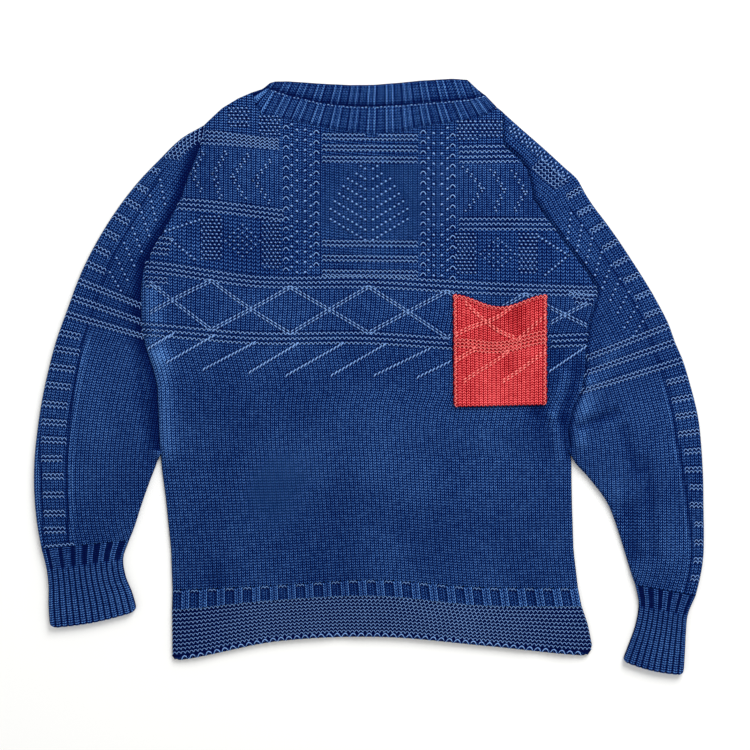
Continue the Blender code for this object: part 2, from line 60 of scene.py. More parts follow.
leftEdge = np.array([
    (-196.8, 302.3), (-199.8, 282.6), (-208.2, 261.0), (-217.2, 238.2), (-225.6, 213.0),
    (-238.2, 189.0), (-259.3, 150.6), (-270.0, 129.0), (-273.6, 100.2), (-273.0, 61.8),
    (-268.2, 36.6), (-259.1, 10.2), (-253.8, -11.4), (-252.0, -54.6), (-250.8, -81.0),
    (-247.8, -112.2), (-243.0, -148.2), (-237.0, -208.2), (-235.2, -256.2), (-235.8, -280.2),
    (-235.2, -341.4),
])
rightEdge = np.array([
    (161.4, 317.4), (161.4, 295.8), (162.6, 276.6), (180.6, 262.2), (191.4, 247.8),
    (195.6, 231.0), (198.6, 211.8), (211.8, 193.8), (225.0, 175.8), (235.8, 160.2),
    (249.0, 143.4), (263.4, 124.2), (274.8, 103.8), (274.2, 91.8), (265.8, 65.4),
    (261.6, 36.6), (260.4, 7.8), (256.2, -17.4), (245.4, -37.8), (240.0, -61.8),
    (241.2, -83.4), (243.6, -102.6), (243.6, -124.2), (244.2, -154.2), (246.0, -208.2),
    (251.4, -253.8), (255.6, -275.4), (263.4, -298.2), (268.2, -322.2), (265.8, -335.4),
])

# Courses of the body, hem first: y at the left edge, quarter, middle, three quarters, right edge
courses = {
    "hem": (-341.4, -318.0, -312.8, -323.4, -335.4),
    "cellsFoot": (-280.2, -268.5, -263.5, -274.8, -276.1),
    "cellsTop": (-256.2, -250.8, -244.2, -252.6, -253.8),
    "plainB": (-154.2, -151.8, -149.4, -156.6, -156.6),
    "underarm": (-90.6, -91.5, -92.0, -96.0, -97.8),
    "plainA": (-52.2, -55.8, -54.6, -61.8, -60.6),
    "lowerBandFoot": (49.8, 40.2, 40.2, 33.0, 37.8),
    "lowerBandTop": (63.0, 52.2, 52.2, 45.0, 51.0),
    "upperBandFoot": (126.6, 108.6, 107.4, 100.2, 97.8),
    "upperBandTop": (137.4, 119.4, 119.4, 112.2, 107.4),
    "yokeBandFoot": (202.2, 190.2, 173.4, 177.0, 177.0),
    "yokeBandTop": (213.0, 201.0, 185.4, 189.0, 189.0),
    "neckBarsFoot": (280.2, 273.0, 259.8, 257.4, 258.6),
    "neckBarsTop": (294.6, 285.0, 288.6, 276.6, 276.6),
}

# Neck: x, y of the front seam; x, y of the front band's edge; y of the back seam; x, y of the
# back band's edge
neck = np.array([
    (-139.8, 340.8, -123.0, 346.2, 340.8, -123.0, 346.8),
    (-135.0, 327.0, -118.0, 344.5, 337.0, -119.0, 352.6),
    (-127.8, 313.8, -108.0, 341.0, 331.8, -112.0, 354.4),
    (-106.2, 309.6, -94.2, 336.6, 327.6, -97.0, 354.4),
    (-90.6, 307.8, -82.0, 334.0, 326.2, -84.0, 353.6),
    (-55.8, 299.4, -55.8, 327.6, 324.6, -55.8, 351.6),
    (-22.2, 293.4, -22.0, 324.0, 323.6, -22.2, 350.0),
    (5.4, 291.4, 5.4, 323.6, 323.4, 5.4, 350.2),
    (40.2, 293.8, 40.2, 325.6, 323.9, 40.2, 353.0),
    (63.0, 300.0, 63.0, 327.4, 324.6, 61.0, 355.2),
    (109.8, 306.6, 109.8, 331.2, 327.0, 100.0, 357.6),
    (130.2, 310.9, 124.8, 333.0, 325.4, 119.0, 356.4),
    (145.8, 317.4, 134.0, 335.4, 323.7, 130.0, 346.0),
    (154.2, 322.8, 139.8, 337.8, 322.8, 139.8, 338.4),
])
shoulderLeft = [(-196.8, 302.3), (-176.0, 321.6), (-157.0, 333.2)]
shoulderRight = [(161.4, 317.4)]

# Creases: x, y at each end, width, height (a trough is negative)
creases = np.array([
    (-262.0, 108.0, -254.0, 24.0, 13.0, 3.6),       # left body edge, rolled over the armhole
    (-247.0, 20.0, -243.0, -88.0, 12.0, 3.0),
    (-286.0, 90.0, -266.0, -50.0, 9.0, -2.4),       # sleeve hollow beside it
    (-265.0, -62.0, -262.0, -100.0, 7.0, -1.8),
    (252.0, 12.0, 234.0, -50.0, 8.0, -2.6),         # right underarm crease
    (234.0, -50.0, 241.0, -96.0, 6.0, -2.2),
    (262.0, -6.0, 254.0, -78.0, 9.0, 2.6),
    (254.0, -60.0, 296.0, -43.0, 6.0, -2.4),        # right sleeve creases
    (307.0, -64.0, 322.0, -112.0, 8.0, -2.2),
    (334.0, -100.0, 344.0, -214.0, 5.0, -1.4),
    (308.0, -160.0, 318.0, -214.0, 11.0, -2.6),
    (238.0, 0.0, 222.0, -46.0, 7.0, 1.8),           # right body edge, rolled beside the sleeve
    (222.0, -46.0, 230.0, -98.0, 6.0, 1.6),
    (222.0, 30.0, 203.0, -40.0, 14.0, -2.0),
    (203.0, -40.0, 214.0, -90.0, 12.0, -1.2),
    (296.0, -130.0, 312.0, -190.0, 8.0, 1.2),
    (358.0, -90.0, 362.0, -220.0, 14.0, 0.8),
    (292.0, 30.0, 262.0, -40.0, 12.0, 1.8),
    (-176.0, -316.0, -184.0, -240.0, 12.0, -1.4),   # soft waves of the welt
    (-34.0, -308.0, -28.0, -250.0, 14.0, -1.4),
    (205.0, -322.0, 190.0, -262.0, 14.0, -1.4),
    (-206.0, 176.0, -150.0, 150.0, 16.0, -1.1),     # yoke, beside the left armhole
    (180.0, 236.0, 214.0, 150.0, 14.0, -1.2),
    (-120.0, -90.0, 60.0, -120.0, 34.0, 0.8),       # broad puff of the body
    (-350.0, 40.0, -318.0, -110.0, 24.0, 0.9),
])


def mix(a, b, t):
    return a + (b - a) * t


def softStep(t):
    t = np.clip(t, 0.0, 1.0)
    return t * t * (3.0 - 2.0 * t)


# a soft bump of height 1 about a place
def bumpAt(value, place, width):
    return np.exp(-((value - place) / width)**2)


# height, 0 to 1, of a quarter round at a distance from the edge
def quarterRound(away, radius):
    return np.sqrt(np.clip(1.0 - (1.0 - np.clip(away / radius, 0.0, 1.0))**2, 0.0, 1.0))


# a cubic between two values that leaves and arrives at the given slopes
def cubic(start, end, slopeStart, slopeEnd, t):
    return ((2 * t**3 - 3 * t**2 + 1) * start + (t**3 - 2 * t**2 + t) * slopeStart
            + (3 * t**2 - 2 * t**3) * end + (t**3 - t**2) * slopeEnd)


# x of a wale: the wales spread with the body below the armholes and stand upright above them,
# where the armholes cut them off
def waleX(share, leftX, rightX, middleY):
    upright = softStep((middleY - uprightFrom) / 60.0)
    x = mix(mix(leftX, rightX, share), mix(chestEdges[0], chestEdges[1], share), upright)
    cut = (x < leftX - 0.01) | (x > rightX + 0.01)
    return np.clip(x, leftX, rightX), cut


uprightFrom = 46.0
chestEdges = (-273.8, 274.8)      # x of the body's edges at the armholes' foot


def edgeX(edge, y):
    return np.interp(y, edge[::-1, 1], edge[::-1, 0])


def lineY(points, x):
    return np.interp(x, [p[0] for p in points], [p[1] for p in points])


# distance in from the nearer edge of the body
def insideBody(x, y):
    return np.minimum(x - edgeX(leftEdge, y), edgeX(rightEdge, y) - x)


# a smooth course through five evenly spaced heights, one set for all places or one for each
def throughFive(heights, u):
    table = np.broadcast_to(np.asarray(heights), u.shape + (5,))
    place = np.clip(u, 0.0, 1.0) * 4.0
    i = np.minimum(place.astype(int), 3)

    def pick(k):
        return np.take_along_axis(table, np.clip(k, 0, 4)[..., None], axis=-1)[..., 0]
    start, end = pick(i), pick(i + 1)
    return cubic(start, end, (end - pick(i - 1)) * 0.5, (pick(i + 2) - start) * 0.5, place - i)


# five heights part of the way from one course to another
def courseBetween(first, last, share):
    return tuple(mix(a, b, share) for a, b in zip(courses[first], courses[last]))


def creaseHeight(x, y, lines=creases):
    height = np.zeros_like(x)
    for x0, y0, x1, y1, width, rise in lines:
        dx, dy = x1 - x0, y1 - y0
        along = np.clip(((x - x0) * dx + (y - y0) * dy) / (dx * dx + dy * dy), 0.0, 1.0)
        away = np.hypot(x - x0 - along * dx, y - y0 - along * dy) / width
        height = height + rise * np.exp(-away * away)
    return height


# top of the upper body layer, before its stitches
def upperHeight(x, y):
    inside = insideBody(x, y)
    rise = np.sqrt(softStep(inside / garment["rimWidth"]))
    folds = creaseHeight(x, y) * softStep((inside + 4.0) / 10.0)
    height = mix(garment["rimTop"], garment["upperTop"], rise) + folds
    curl = 1.4 * np.exp(-np.maximum(inside, 0.0) / 1.4)     # the last stitch turns down
    return np.maximum(height, garment["rimTop"]) - curl


def sleeveHeight(x, y):
    return np.maximum(garment["sleeveTop"] + creaseHeight(x, y), 5.4)


# the front's own upper edge: shoulder, neck seam, shoulder
def neckY(x):
    return lineY(shoulderLeft + [row[:2] for row in neck] + shoulderRight, x)


# Stitch work


# Kinds of purl loop: width, arch and yarn radius in metres
loopKinds = {
    "ridge": (0.0052, 0.0038, 0.00066),     # joined side by side along a garter ridge
    "welt": (0.0052, 0.0044, 0.00055),      # the same, drawn tighter in the hem's welt
    "dot": (0.0019, 0.0009, 0.00142),       # a lone purl bump
    "caret": (0.0068, 0.0048, 0.00090),     # a wide bump of two stitches
}


# The purl loops of one piece: place, turn and size of each, and a map of where they lie, so that the
# knitted ground can drop round them and take painted shade there
class LoopWork:

    cell, low, high = 0.8, (-420.0, -380.0), (420.0, 380.0)     # the map, in millimetres

    def __init__(self):
        self.rows = {kind: [] for kind in loopKinds}
        self.marks = np.zeros([int((b - a) / self.cell) + 1 for a, b in zip(self.low, self.high)])

    def index(self, x, y):
        return tuple(np.clip(np.round((v - low) / self.cell).astype(int), 0, size - 1)
                     for v, low, size in zip((x, y), self.low, self.marks.shape))

    # one loop, which drops the ground as far as its reach
    def add(self, kind, x, y, z, turn, width=1.0, height=1.0, reach=None):
        self.rows[kind].append((x, y, z, turn, width, height))
        if reach:
            k = int(reach / self.cell) + 1
            gx, gy = np.mgrid[-k:k + 1, -k:k + 1]
            stamp = np.exp(-((gx**2 + gy**2) * self.cell**2) / (reach * 0.62)**2)
            a, b = self.index(x, y)
            view = self.marks[a - k:a + k + 1, b - k:b + k + 1]
            if view.shape == stamp.shape:
                np.maximum(view, stamp, out=view)

    # how near a loop is, 0 to 1
    def near(self, x, y, spread=1.5):
        return np.clip(self.marks[self.index(x, y)] * spread, 0.0, 1.0)


# table points in metres, about the model's own middle
def inMetres(x, y, z):
    return np.stack([(x - tableMiddle[0]) * mm, (y - tableMiddle[1]) * mm, z * mm], axis=-1)


def placeObject(name, data):
    obj = bpy.data.objects.new(name, data)
    bpy.context.scene.collection.objects.link(obj)
    return obj


# a mesh from grids of points, with its stitch UVs and its relief
def gridMesh(name, x, y, z, relief, stitch, row, keep=None, down=False):
    rows, columns = x.shape
    index = np.arange(rows * columns).reshape(rows, columns)
    quads = np.stack([index[:-1, :-1], index[:-1, 1:], index[1:, 1:], index[1:, :-1]], axis=-1)
    if keep is not None:
        quads = quads[keep]
    quads = quads.reshape(-1, 4)
    if down:
        quads = quads[:, ::-1]
    used = np.unique(quads)
    renumber = np.zeros(rows * columns, dtype=int)
    renumber[used] = np.arange(len(used))
    mesh = bpy.data.meshes.new(name)
    mesh.from_pydata(inMetres(x, y, z).reshape(-1, 3)[used].tolist(), [], renumber[quads].tolist())
    worked = mesh.attributes.new("relief", "FLOAT", "POINT")
    worked.data.foreach_set("value", relief.reshape(-1)[used].astype(np.float32))
    uv = mesh.uv_layers.new(name="stitches")
    corner = np.empty(len(mesh.loops), dtype=np.int32)
    mesh.loops.foreach_get("vertex_index", corner)
    flat = np.stack([stitch.reshape(-1)[used], row.reshape(-1)[used]], axis=-1)
    uv.data.foreach_set("uv", flat[corner].astype(np.float32).ravel())
    mesh.shade_smooth()
    return placeObject(name, mesh)


# one piece from several meshes
def join(name, objects):
    for o in bpy.context.selected_objects:
        o.select_set(False)
    for o in objects:
        o.select_set(True)
    bpy.context.view_layer.objects.active = objects[0]
    bpy.ops.object.join()
    objects[0].name = name
    objects[0].data.name = name
    return objects[0]


# height of stocking stitch, 0 to 1, at a place counted in stitches and rows
def knitRelief(wale, course):
    across = wale - np.floor(wale)
    up = course - np.floor(course)
    leg = 0.5 - 0.5 * np.cos(4.0 * math.pi * across)
    centre = bumpAt(across, 0.5, 0.16) * 0.42
    loop = 0.83 + 0.17 * np.cos(2.0 * math.pi * up)
    return np.clip((leg + centre) * loop, 0.0, 1.0)


# how far the stitches raise the cloth, and how far it drops near a purl loop
def stitchRise(wale, course, near, dip):
    return garment["knitDepth"] * (knitRelief(wale, course) - 0.5) * (1.0 - near) - dip * near


plainRelief = 0.45       # where neither a purl loop nor a groove changes the knit
foldWearAndShade = 0.08       # how much lighter a fold's crest and darker its trough, for each millimetre of its height: partly faded indigo on crests, the rest painted light on crests and painted shade in troughs


def foldRelief(x, y):
    return plainRelief + foldWearAndShade * creaseHeight(x, y)


# how far each row's line swings up and down, in rows: the V of a knit stitch
def slant(wale):
    across = wale - np.floor(wale)
    return 0.45 * np.cos(2.0 * math.pi * across)


# Materials


# an sRGB hex value as linear numbers
def linear(hexColour):
    parts = [int(hexColour[i:i + 2], 16) / 255.0 for i in (1, 3, 5)]
    return [c / 12.92 if c <= 0.04045 else ((c + 0.055) / 1.055)**2.4 for c in parts] + [1.0]


# a node with its settings, its socket values and its links
def addNode(tree, kind, settings=None, **links):
    node = tree.nodes.new(kind)
    for key, value in (settings or {}).items():
        setattr(node, key, value)
    for key, value in links.items():
        socket = node.inputs[int(key[1:])] if key[0] == "i" and key[1:].isdigit() else node.inputs[key]
        if isinstance(value, bpy.types.NodeSocket):
            tree.links.new(value, socket)
        else:
            socket.default_value = value
    return node


# ramp colours by relief: shadedRecess is painted shade over the dye; crest and loop are partly faded dye
# and partly painted light
knitColours = {
    "indigo": {"shadedRecess": "#000634", "ground": "#0D2C66", "crest": "#2A5696", "loop": "#6694D0",
               "proudLow": "#122F6A", "proudHigh": "#86AEE6"},
    "red": {"shadedRecess": "#660008", "ground": "#C82C35", "crest": "#EE5258", "loop": "#FF8280",
            "proudLow": "#C02C32", "proudHigh": "#FF908A"},
}


# washed cotton knit: matt and soft; lighter where loops stand proud, partly faded indigo and partly
# painted light, and darker in the recesses, which is painted shade over the unfaded dye
def knitMaterial(name, colours, looseLoops):
    material = bpy.data.materials.new(name)
    material.use_nodes = True
    tree = material.node_tree
    tree.nodes.clear()

    def maths(operation, *values):
        return addNode(tree, "ShaderNodeMath", {"operation": operation},
                       **{"i" + str(k): value for k, value in enumerate(values)}).outputs[0]
    place = addNode(tree, "ShaderNodeTexCoord").outputs["Object"]
    # heathered yarn: each few millimetres of cotton took the dye a little differently
    mottle, cloud, fibre = (
        addNode(tree, "ShaderNodeTexNoise", {"noise_dimensions": "3D"}, Scale=scale, Detail=detail,
                Roughness=rough, Vector=place).outputs["Fac"]
        for scale, detail, rough in ((240.0, 3.0, 0.7), (9.0, 3.0, 0.5), (1500.0, 2.0, 0.5)))
    level = maths("MULTIPLY_ADD", mottle, 0.8, -0.4)
    level = maths("ADD", level, maths("MULTIPLY_ADD", cloud, 0.4, -0.2))
    if looseLoops:
        # painted light: a loop is lighter where it faces up and darker on its flanks, by how the light
        # falls; on the crest this also stands for faded dye
        facing = addNode(tree, "ShaderNodeNewGeometry").outputs["Normal"]
        crest = addNode(tree, "ShaderNodeSeparateXYZ", Vector=facing).outputs["Z"]
        level = maths("ADD", level, maths("MULTIPLY_ADD", crest, 2.2, -1.2))
    else:
        # the V of each stitch, from the UV map, which counts stitches and rows
        relief = addNode(tree, "ShaderNodeAttribute", {"attribute_name": "relief"}).outputs["Fac"]
        stitches = addNode(tree, "ShaderNodeUVMap", {"uv_map": "stitches"})
        split = addNode(tree, "ShaderNodeSeparateXYZ", Vector=stitches.outputs["UV"])
        fromMiddle = maths("ABSOLUTE", maths("SUBTRACT", maths("FRACT", split.outputs["X"]), 0.5))
        # bright along the middle of each leg, partly faded dye and partly a painted highlight on the
        # yarn's round, and dark between the wales, which is painted shade
        outer = maths("MAXIMUM", maths("SUBTRACT", fromMiddle, 0.26), 0.0)
        inner = maths("MAXIMUM", maths("SUBTRACT", 0.26, fromMiddle), 0.0)
        leg = maths("MULTIPLY", maths("MULTIPLY_ADD", outer, -4.0, 1.0),
                    maths("MULTIPLY_ADD", inner, -2.0, 1.0))
        row = maths("FRACT", split.outputs["Y"])
        yarn = maths("SUBTRACT", 1.0, maths("MULTIPLY", 2.0, maths("ABSOLUTE", maths(
            "SUBTRACT", row, 0.5))))
        vee = maths("MULTIPLY", maths("POWER", maths("MAXIMUM", leg, 0.02), 0.6),
                    maths("MULTIPLY_ADD", yarn, 0.9, 0.25))
        level = maths("ADD", level, maths("ADD", relief, maths("MULTIPLY_ADD", vee, 1.5, -1.0)))
    ramp = addNode(tree, "ShaderNodeValToRGB", Fac=level)
    stops = ramp.color_ramp.elements
    if looseLoops:
        stops[0].color = linear(colours["proudLow"])
        stops[1].color = linear(colours["proudHigh"])
    else:
        stops[0].color = linear(colours["shadedRecess"])
        stops[1].color = linear(colours["loop"])
        stops.new(0.42).color = linear(colours["ground"])
        stops.new(0.78).color = linear(colours["crest"])
    bump = addNode(tree, "ShaderNodeBump", Strength=0.35, Distance=0.0004,
                   Height=fibre)
    shader = addNode(tree, "ShaderNodeBsdfPrincipled", None, **{
        "Base Color": ramp.outputs["Color"], "Roughness": 0.92, "IOR": 1.5,
        "Normal": bump.outputs["Normal"], "Specular IOR Level": 0.03,
        "Sheen Weight": 0.006, "Sheen Roughness": 0.5})     # cotton's soft fuzz
    addNode(tree, "ShaderNodeOutputMaterial", Surface=shader.outputs["BSDF"])
    return material


indigoKnit = knitMaterial("washedIndigoCottonKnit", knitColours["indigo"], False)
indigoLoop = knitMaterial("washedIndigoPurlLoops", knitColours["indigo"], True)
redKnit = knitMaterial("redCottonKnit", knitColours["red"], False)
redLoop = knitMaterial("redPurlLoops", knitColours["red"], True)
print("materials made")

# Purl loops, by Geometry Nodes: one short arched yarn on each point


def loopTree(name, material):
    tree = bpy.data.node_groups.new(name, "GeometryNodeTree")
    tree.interface.new_socket("Geometry", in_out="INPUT", socket_type="NodeSocketGeometry")
    for label, value in (("Loop width", 0.0048), ("Loop arch", 0.0016), ("Yarn radius", 0.0006)):
        socket = tree.interface.new_socket(label, in_out="INPUT", socket_type="NodeSocketFloat")
        socket.default_value = value
    tree.interface.new_socket("Geometry", in_out="OUTPUT", socket_type="NodeSocketGeometry")
    given = addNode(tree, "NodeGroupInput")

    def scaled(socket, factor):
        return addNode(tree, "ShaderNodeMath", {"operation": "MULTIPLY"}, i0=given.outputs[socket],
                       i1=factor).outputs[0]
    foot, sunk = scaled(2, -0.5), scaled(3, -0.9)
    ends = [addNode(tree, "ShaderNodeCombineXYZ", X=scaled(1, side), Y=foot, Z=sunk).outputs[0]
            for side in (-0.5, 0.5)]
    top = addNode(tree, "ShaderNodeCombineXYZ", Y=given.outputs[2], Z=scaled(3, 1.2)).outputs[0]
    arc = addNode(tree, "GeometryNodeCurveQuadraticBezier", Resolution=4, Start=ends[0], Middle=top,
                  End=ends[1]).outputs[0]
    ring = addNode(tree, "GeometryNodeCurvePrimitiveCircle", Resolution=4,
                   Radius=given.outputs[3]).outputs[0]
    yarn = addNode(tree, "GeometryNodeCurveToMesh", None,
                   **{"Curve": arc, "Profile Curve": ring, "Fill Caps": True}).outputs[0]
    turn, size = (addNode(tree, "GeometryNodeInputNamedAttribute", {"data_type": "FLOAT_VECTOR"},
                          Name=label).outputs[0] for label in ("turn", "size"))
    body = addNode(tree, "GeometryNodeInstanceOnPoints", Points=given.outputs[0], Instance=yarn,
                   Rotation=turn, Scale=size).outputs[0]
    for kind, values in (("GeometryNodeRealizeInstances", {}), ("GeometryNodeSetShadeSmooth", {}),
                         ("GeometryNodeSetMaterial", {"Material": material})):
        body = addNode(tree, kind, None, i0=body, **values).outputs[0]
    addNode(tree, "NodeGroupOutput", i0=body)
    return tree


def makeLoops(name, rows, material, kind):
    rows = np.array(rows)
    mesh = bpy.data.meshes.new(name)
    mesh.from_pydata(inMetres(*rows[:, :3].T).tolist(), [], [])
    turn = rows[:, [3, 3, 3]] * (0.0, 0.0, 1.0)
    for label, values in (("turn", turn), ("size", rows[:, [4, 5, 5]])):
        vectors = mesh.attributes.new(label, "FLOAT_VECTOR", "POINT").data
        vectors.foreach_set("vector", values.astype(np.float32).ravel())
    holder = placeObject(name, mesh)
    tree = loopTree(name + "Tree", material)
    modifier = holder.modifiers.new("loops", "NODES")
    modifier.node_group = tree
    sockets = {item.name: item.identifier for item in tree.interface.items_tree
               if item.in_out == "INPUT"}
    for label, value in zip(("Loop width", "Loop arch", "Yarn radius"), loopKinds[kind]):
        modifier[sockets[label]] = value
    bpy.context.view_layer.update()
    evaluated = holder.evaluated_get(bpy.context.evaluated_depsgraph_get())
    worked = bpy.data.meshes.new_from_object(evaluated)
    holder.modifiers.clear()
    holder.data = worked
    worked.name = name
    return holder


# one piece from the loops of all kinds
def makeLoopWork(name, work, material):
    finishPiece(join(name, [makeLoops(name + kind, rows, material, kind)
                            for kind, rows in work.rows.items() if rows]), material, [])


# The front's chart: motifs placed one by one, in millimetres on the laid garment

centrePanel = (-55.8, 58.8)     # x of its two edges
chart = {
    "stitch": 5.15, "mossRow": 4.2, "diamondRow": 3.1, "mossDiamondRow": 4.7,
    "ridgeLoop": (1.02, 0.95, 2.9),     # width and height of a loop, and its reach
    # garter bands: course, ridges, and between which x
    "bands": [
        ("upperBand", 3, -999.0, 999.0), ("lowerBand", 3, -999.0, 999.0),
        ("yokeBand", 3, -999.0, -104.0), ("yokeBand", 3, 107.0, 999.0),
        ("neckBars", 4, -999.0, -106.0), ("neckBars", 4, 108.0, 999.0),
    ],
    # bars of two ridges across the centre panel: y of each bar
    "bars": [288.0, 274.7, 261.0, 160.2, 142.2, 124.6],
    "barRidge": 5.0,            # from ridge to ridge of a bar
    # columns of carets: x, y of the top one, y of the foot
    "carets": [(-99.0, 300.0, 126.0), (-62.6, 294.0, 126.0), (65.6, 294.0, 116.0),
               (101.0, 290.0, 112.0)],
    "caretStep": 12.2,
    # between them, groups of four dots in a V: x of the middle of each group, top, foot
    "dotGroups": [(-81.0, 296.0, 124.0), (83.0, 292.0, 116.0)],
    # the nested V diamond: x of its middle, y of its top, widest place and foot, half widths
    "diamond": (0.6, 256.0, 194.0, 164.0, 14.0, 54.0),
    # zigzags of paired dots: x, y of three points
    "zigzags": [
        (-143.4, 267.0, -163.0, 239.4, -148.9, 214.0), (-117.0, 260.0, -136.6, 235.2, -118.0, 208.0),
        (-170.3, 270.0, -185.4, 243.5, -177.0, 214.0), (-198.0, 270.0, -211.4, 243.5, -200.0, 222.0),
        (114.6, 251.4, 136.8, 225.8, 118.2, 199.0), (147.8, 248.0, 162.6, 225.0, 151.6, 199.0),
        (173.4, 247.0, 188.3, 222.1, 175.4, 199.0),
    ],
    # moss blocks: left, right, top, foot
    "moss": [
        (-200.0, -176.0, 192.0, 139.0), (-127.0, -104.0, 186.0, 128.0), (-130.0, -105.0, 312.0, 288.0),
        (105.0, 129.0, 171.0, 122.0), (181.0, 202.0, 171.0, 122.0), (107.0, 132.0, 306.0, 282.0),
        (134.0, 160.0, 306.0, 286.0), (-167.0, -142.0, 322.0, 300.0),
    ],
    # open moss diamonds: x, y of the middle, half width, half height
    "mossDiamonds": [(-151.0, 163.0, 22.0, 25.0), (155.0, 147.0, 24.0, 24.0)],
    # slanted lines below the lower band: x, y at the band, x, y at the end
    "slants": [
        (-234.6, 51.0, -263.4, 34.2), (-186.6, 48.6, -240.6, 17.4), (-137.4, 40.2, -197.4, 9.0),
        (-85.8, 39.0, -142.2, 5.4), (-31.8, 39.0, -97.8, 1.8), (18.6, 37.8, -43.8, 1.8),
        (72.6, 33.0, 7.8, 1.8), (124.2, 30.6, 59.4, -0.6), (264.0, 38.0, 214.0, 4.0),
    ],
    # short ridges by the left armhole: x, y at each end
    "shortRidges": [
        (-266.0, 119.5, -244.0, 118.0), (-266.0, 114.0, -243.0, 112.5), (-265.0, 108.5, -252.0, 107.5),
        (-249.0, 167.0, -236.0, 165.0), (-253.0, 160.5, -239.0, 159.0), (-256.0, 154.5, -241.0, 153.0),
        (-259.0, 148.5, -243.0, 147.0), (243.0, 100.5, 268.0, 98.0), (247.0, 95.0, 268.0, 92.5),
        (250.0, 89.5, 266.0, 87.0),
    ],
    # and single lines of dots in the yoke: x, y at each end
    "dotLines": [(-244.0, 174.6, -203.0, 188.0), (-236.0, 163.0, -209.0, 141.0),
                 (204.0, 168.0, 240.0, 145.5), (240.0, 145.5, 212.0, 122.0)],
    # lattice of double diagonals between the bands: x of its upper points, and their spacing
    "latticeStart": -282.4,
    "latticeStep": 94.2, "latticeLoops": 19,
}


# stitch places of a stretch of the body: x, y, wale and course number, and where it is cut off
def bodyGrid(fromCourse, toCourse, stitches, perStitch, perRow, rowHeight):
    names = list(courses)
    first, last = names.index(fromCourse), names.index(toCourse)
    lines = [0.0]
    for a, b in zip(names[first:last], names[first + 1:last + 1]):
        rows = max(round((courses[b][2] - courses[a][2]) / rowHeight), 1)
        lines.append(lines[-1] + rows)
    course = np.arange(0, int(lines[-1]) * perRow + 1) / perRow
    wale = np.arange(0, stitches * perStitch + 1) / perStitch
    wales, coursesOf = np.meshgrid(wale, course)
    swung = np.clip(coursesOf + slant(wales) * (perRow > 1), 0.0, lines[-1])
    table = np.array([courses[n] for n in names[first:last + 1]])
    heights = np.stack([np.interp(swung, lines, table[:, k]) for k in range(5)], axis=-1)
    leftX, rightX = edgeX(leftEdge, heights[..., 0]), edgeX(rightEdge, heights[..., 4])
    x, cut = waleX(wales / stitches, leftX, rightX, heights[..., 2])
    y = throughFive(heights, (x - leftX) / (rightX - leftX))
    return x, y, wales, coursesOf, lines[-1], cut


# places of the stitches along a course, with its direction
def courseLine(heights, count):
    leftX, rightX = edgeX(leftEdge, heights[0]), edgeX(rightEdge, heights[4])
    x, cut = waleX((np.arange(count) + 0.5) / count, leftX, rightX, heights[2])
    x = x[~cut]
    y = throughFive(heights, (x - leftX) / (rightX - leftX))
    return x, y, np.arctan2(np.gradient(y), np.gradient(x))


frontWork = LoopWork()
pocketArea = (98.0, 217.0, -38.0, 85.0)     # left, right, foot and top of what the pocket hides


# one purl loop on the front, unless the pocket hides it
def onFront(kind, x, y, turn=0.0, width=1.0, height=1.0, reach=2.4):
    if pocketArea[0] < x < pocketArea[1] and pocketArea[2] < y < pocketArea[3]:
        return
    lift = 0.1 if kind == "ridge" else 0.25
    frontWork.add(kind, x, y, float(upperHeight(x, y)) + lift, turn, width, height, reach)


def alongLine(x0, y0, x1, y1, step):
    count = max(int(round(math.hypot(x1 - x0, y1 - y0) / step)), 1)
    for i in range(count + 1):
        yield mix(x0, x1, i / count), mix(y0, y1, i / count)


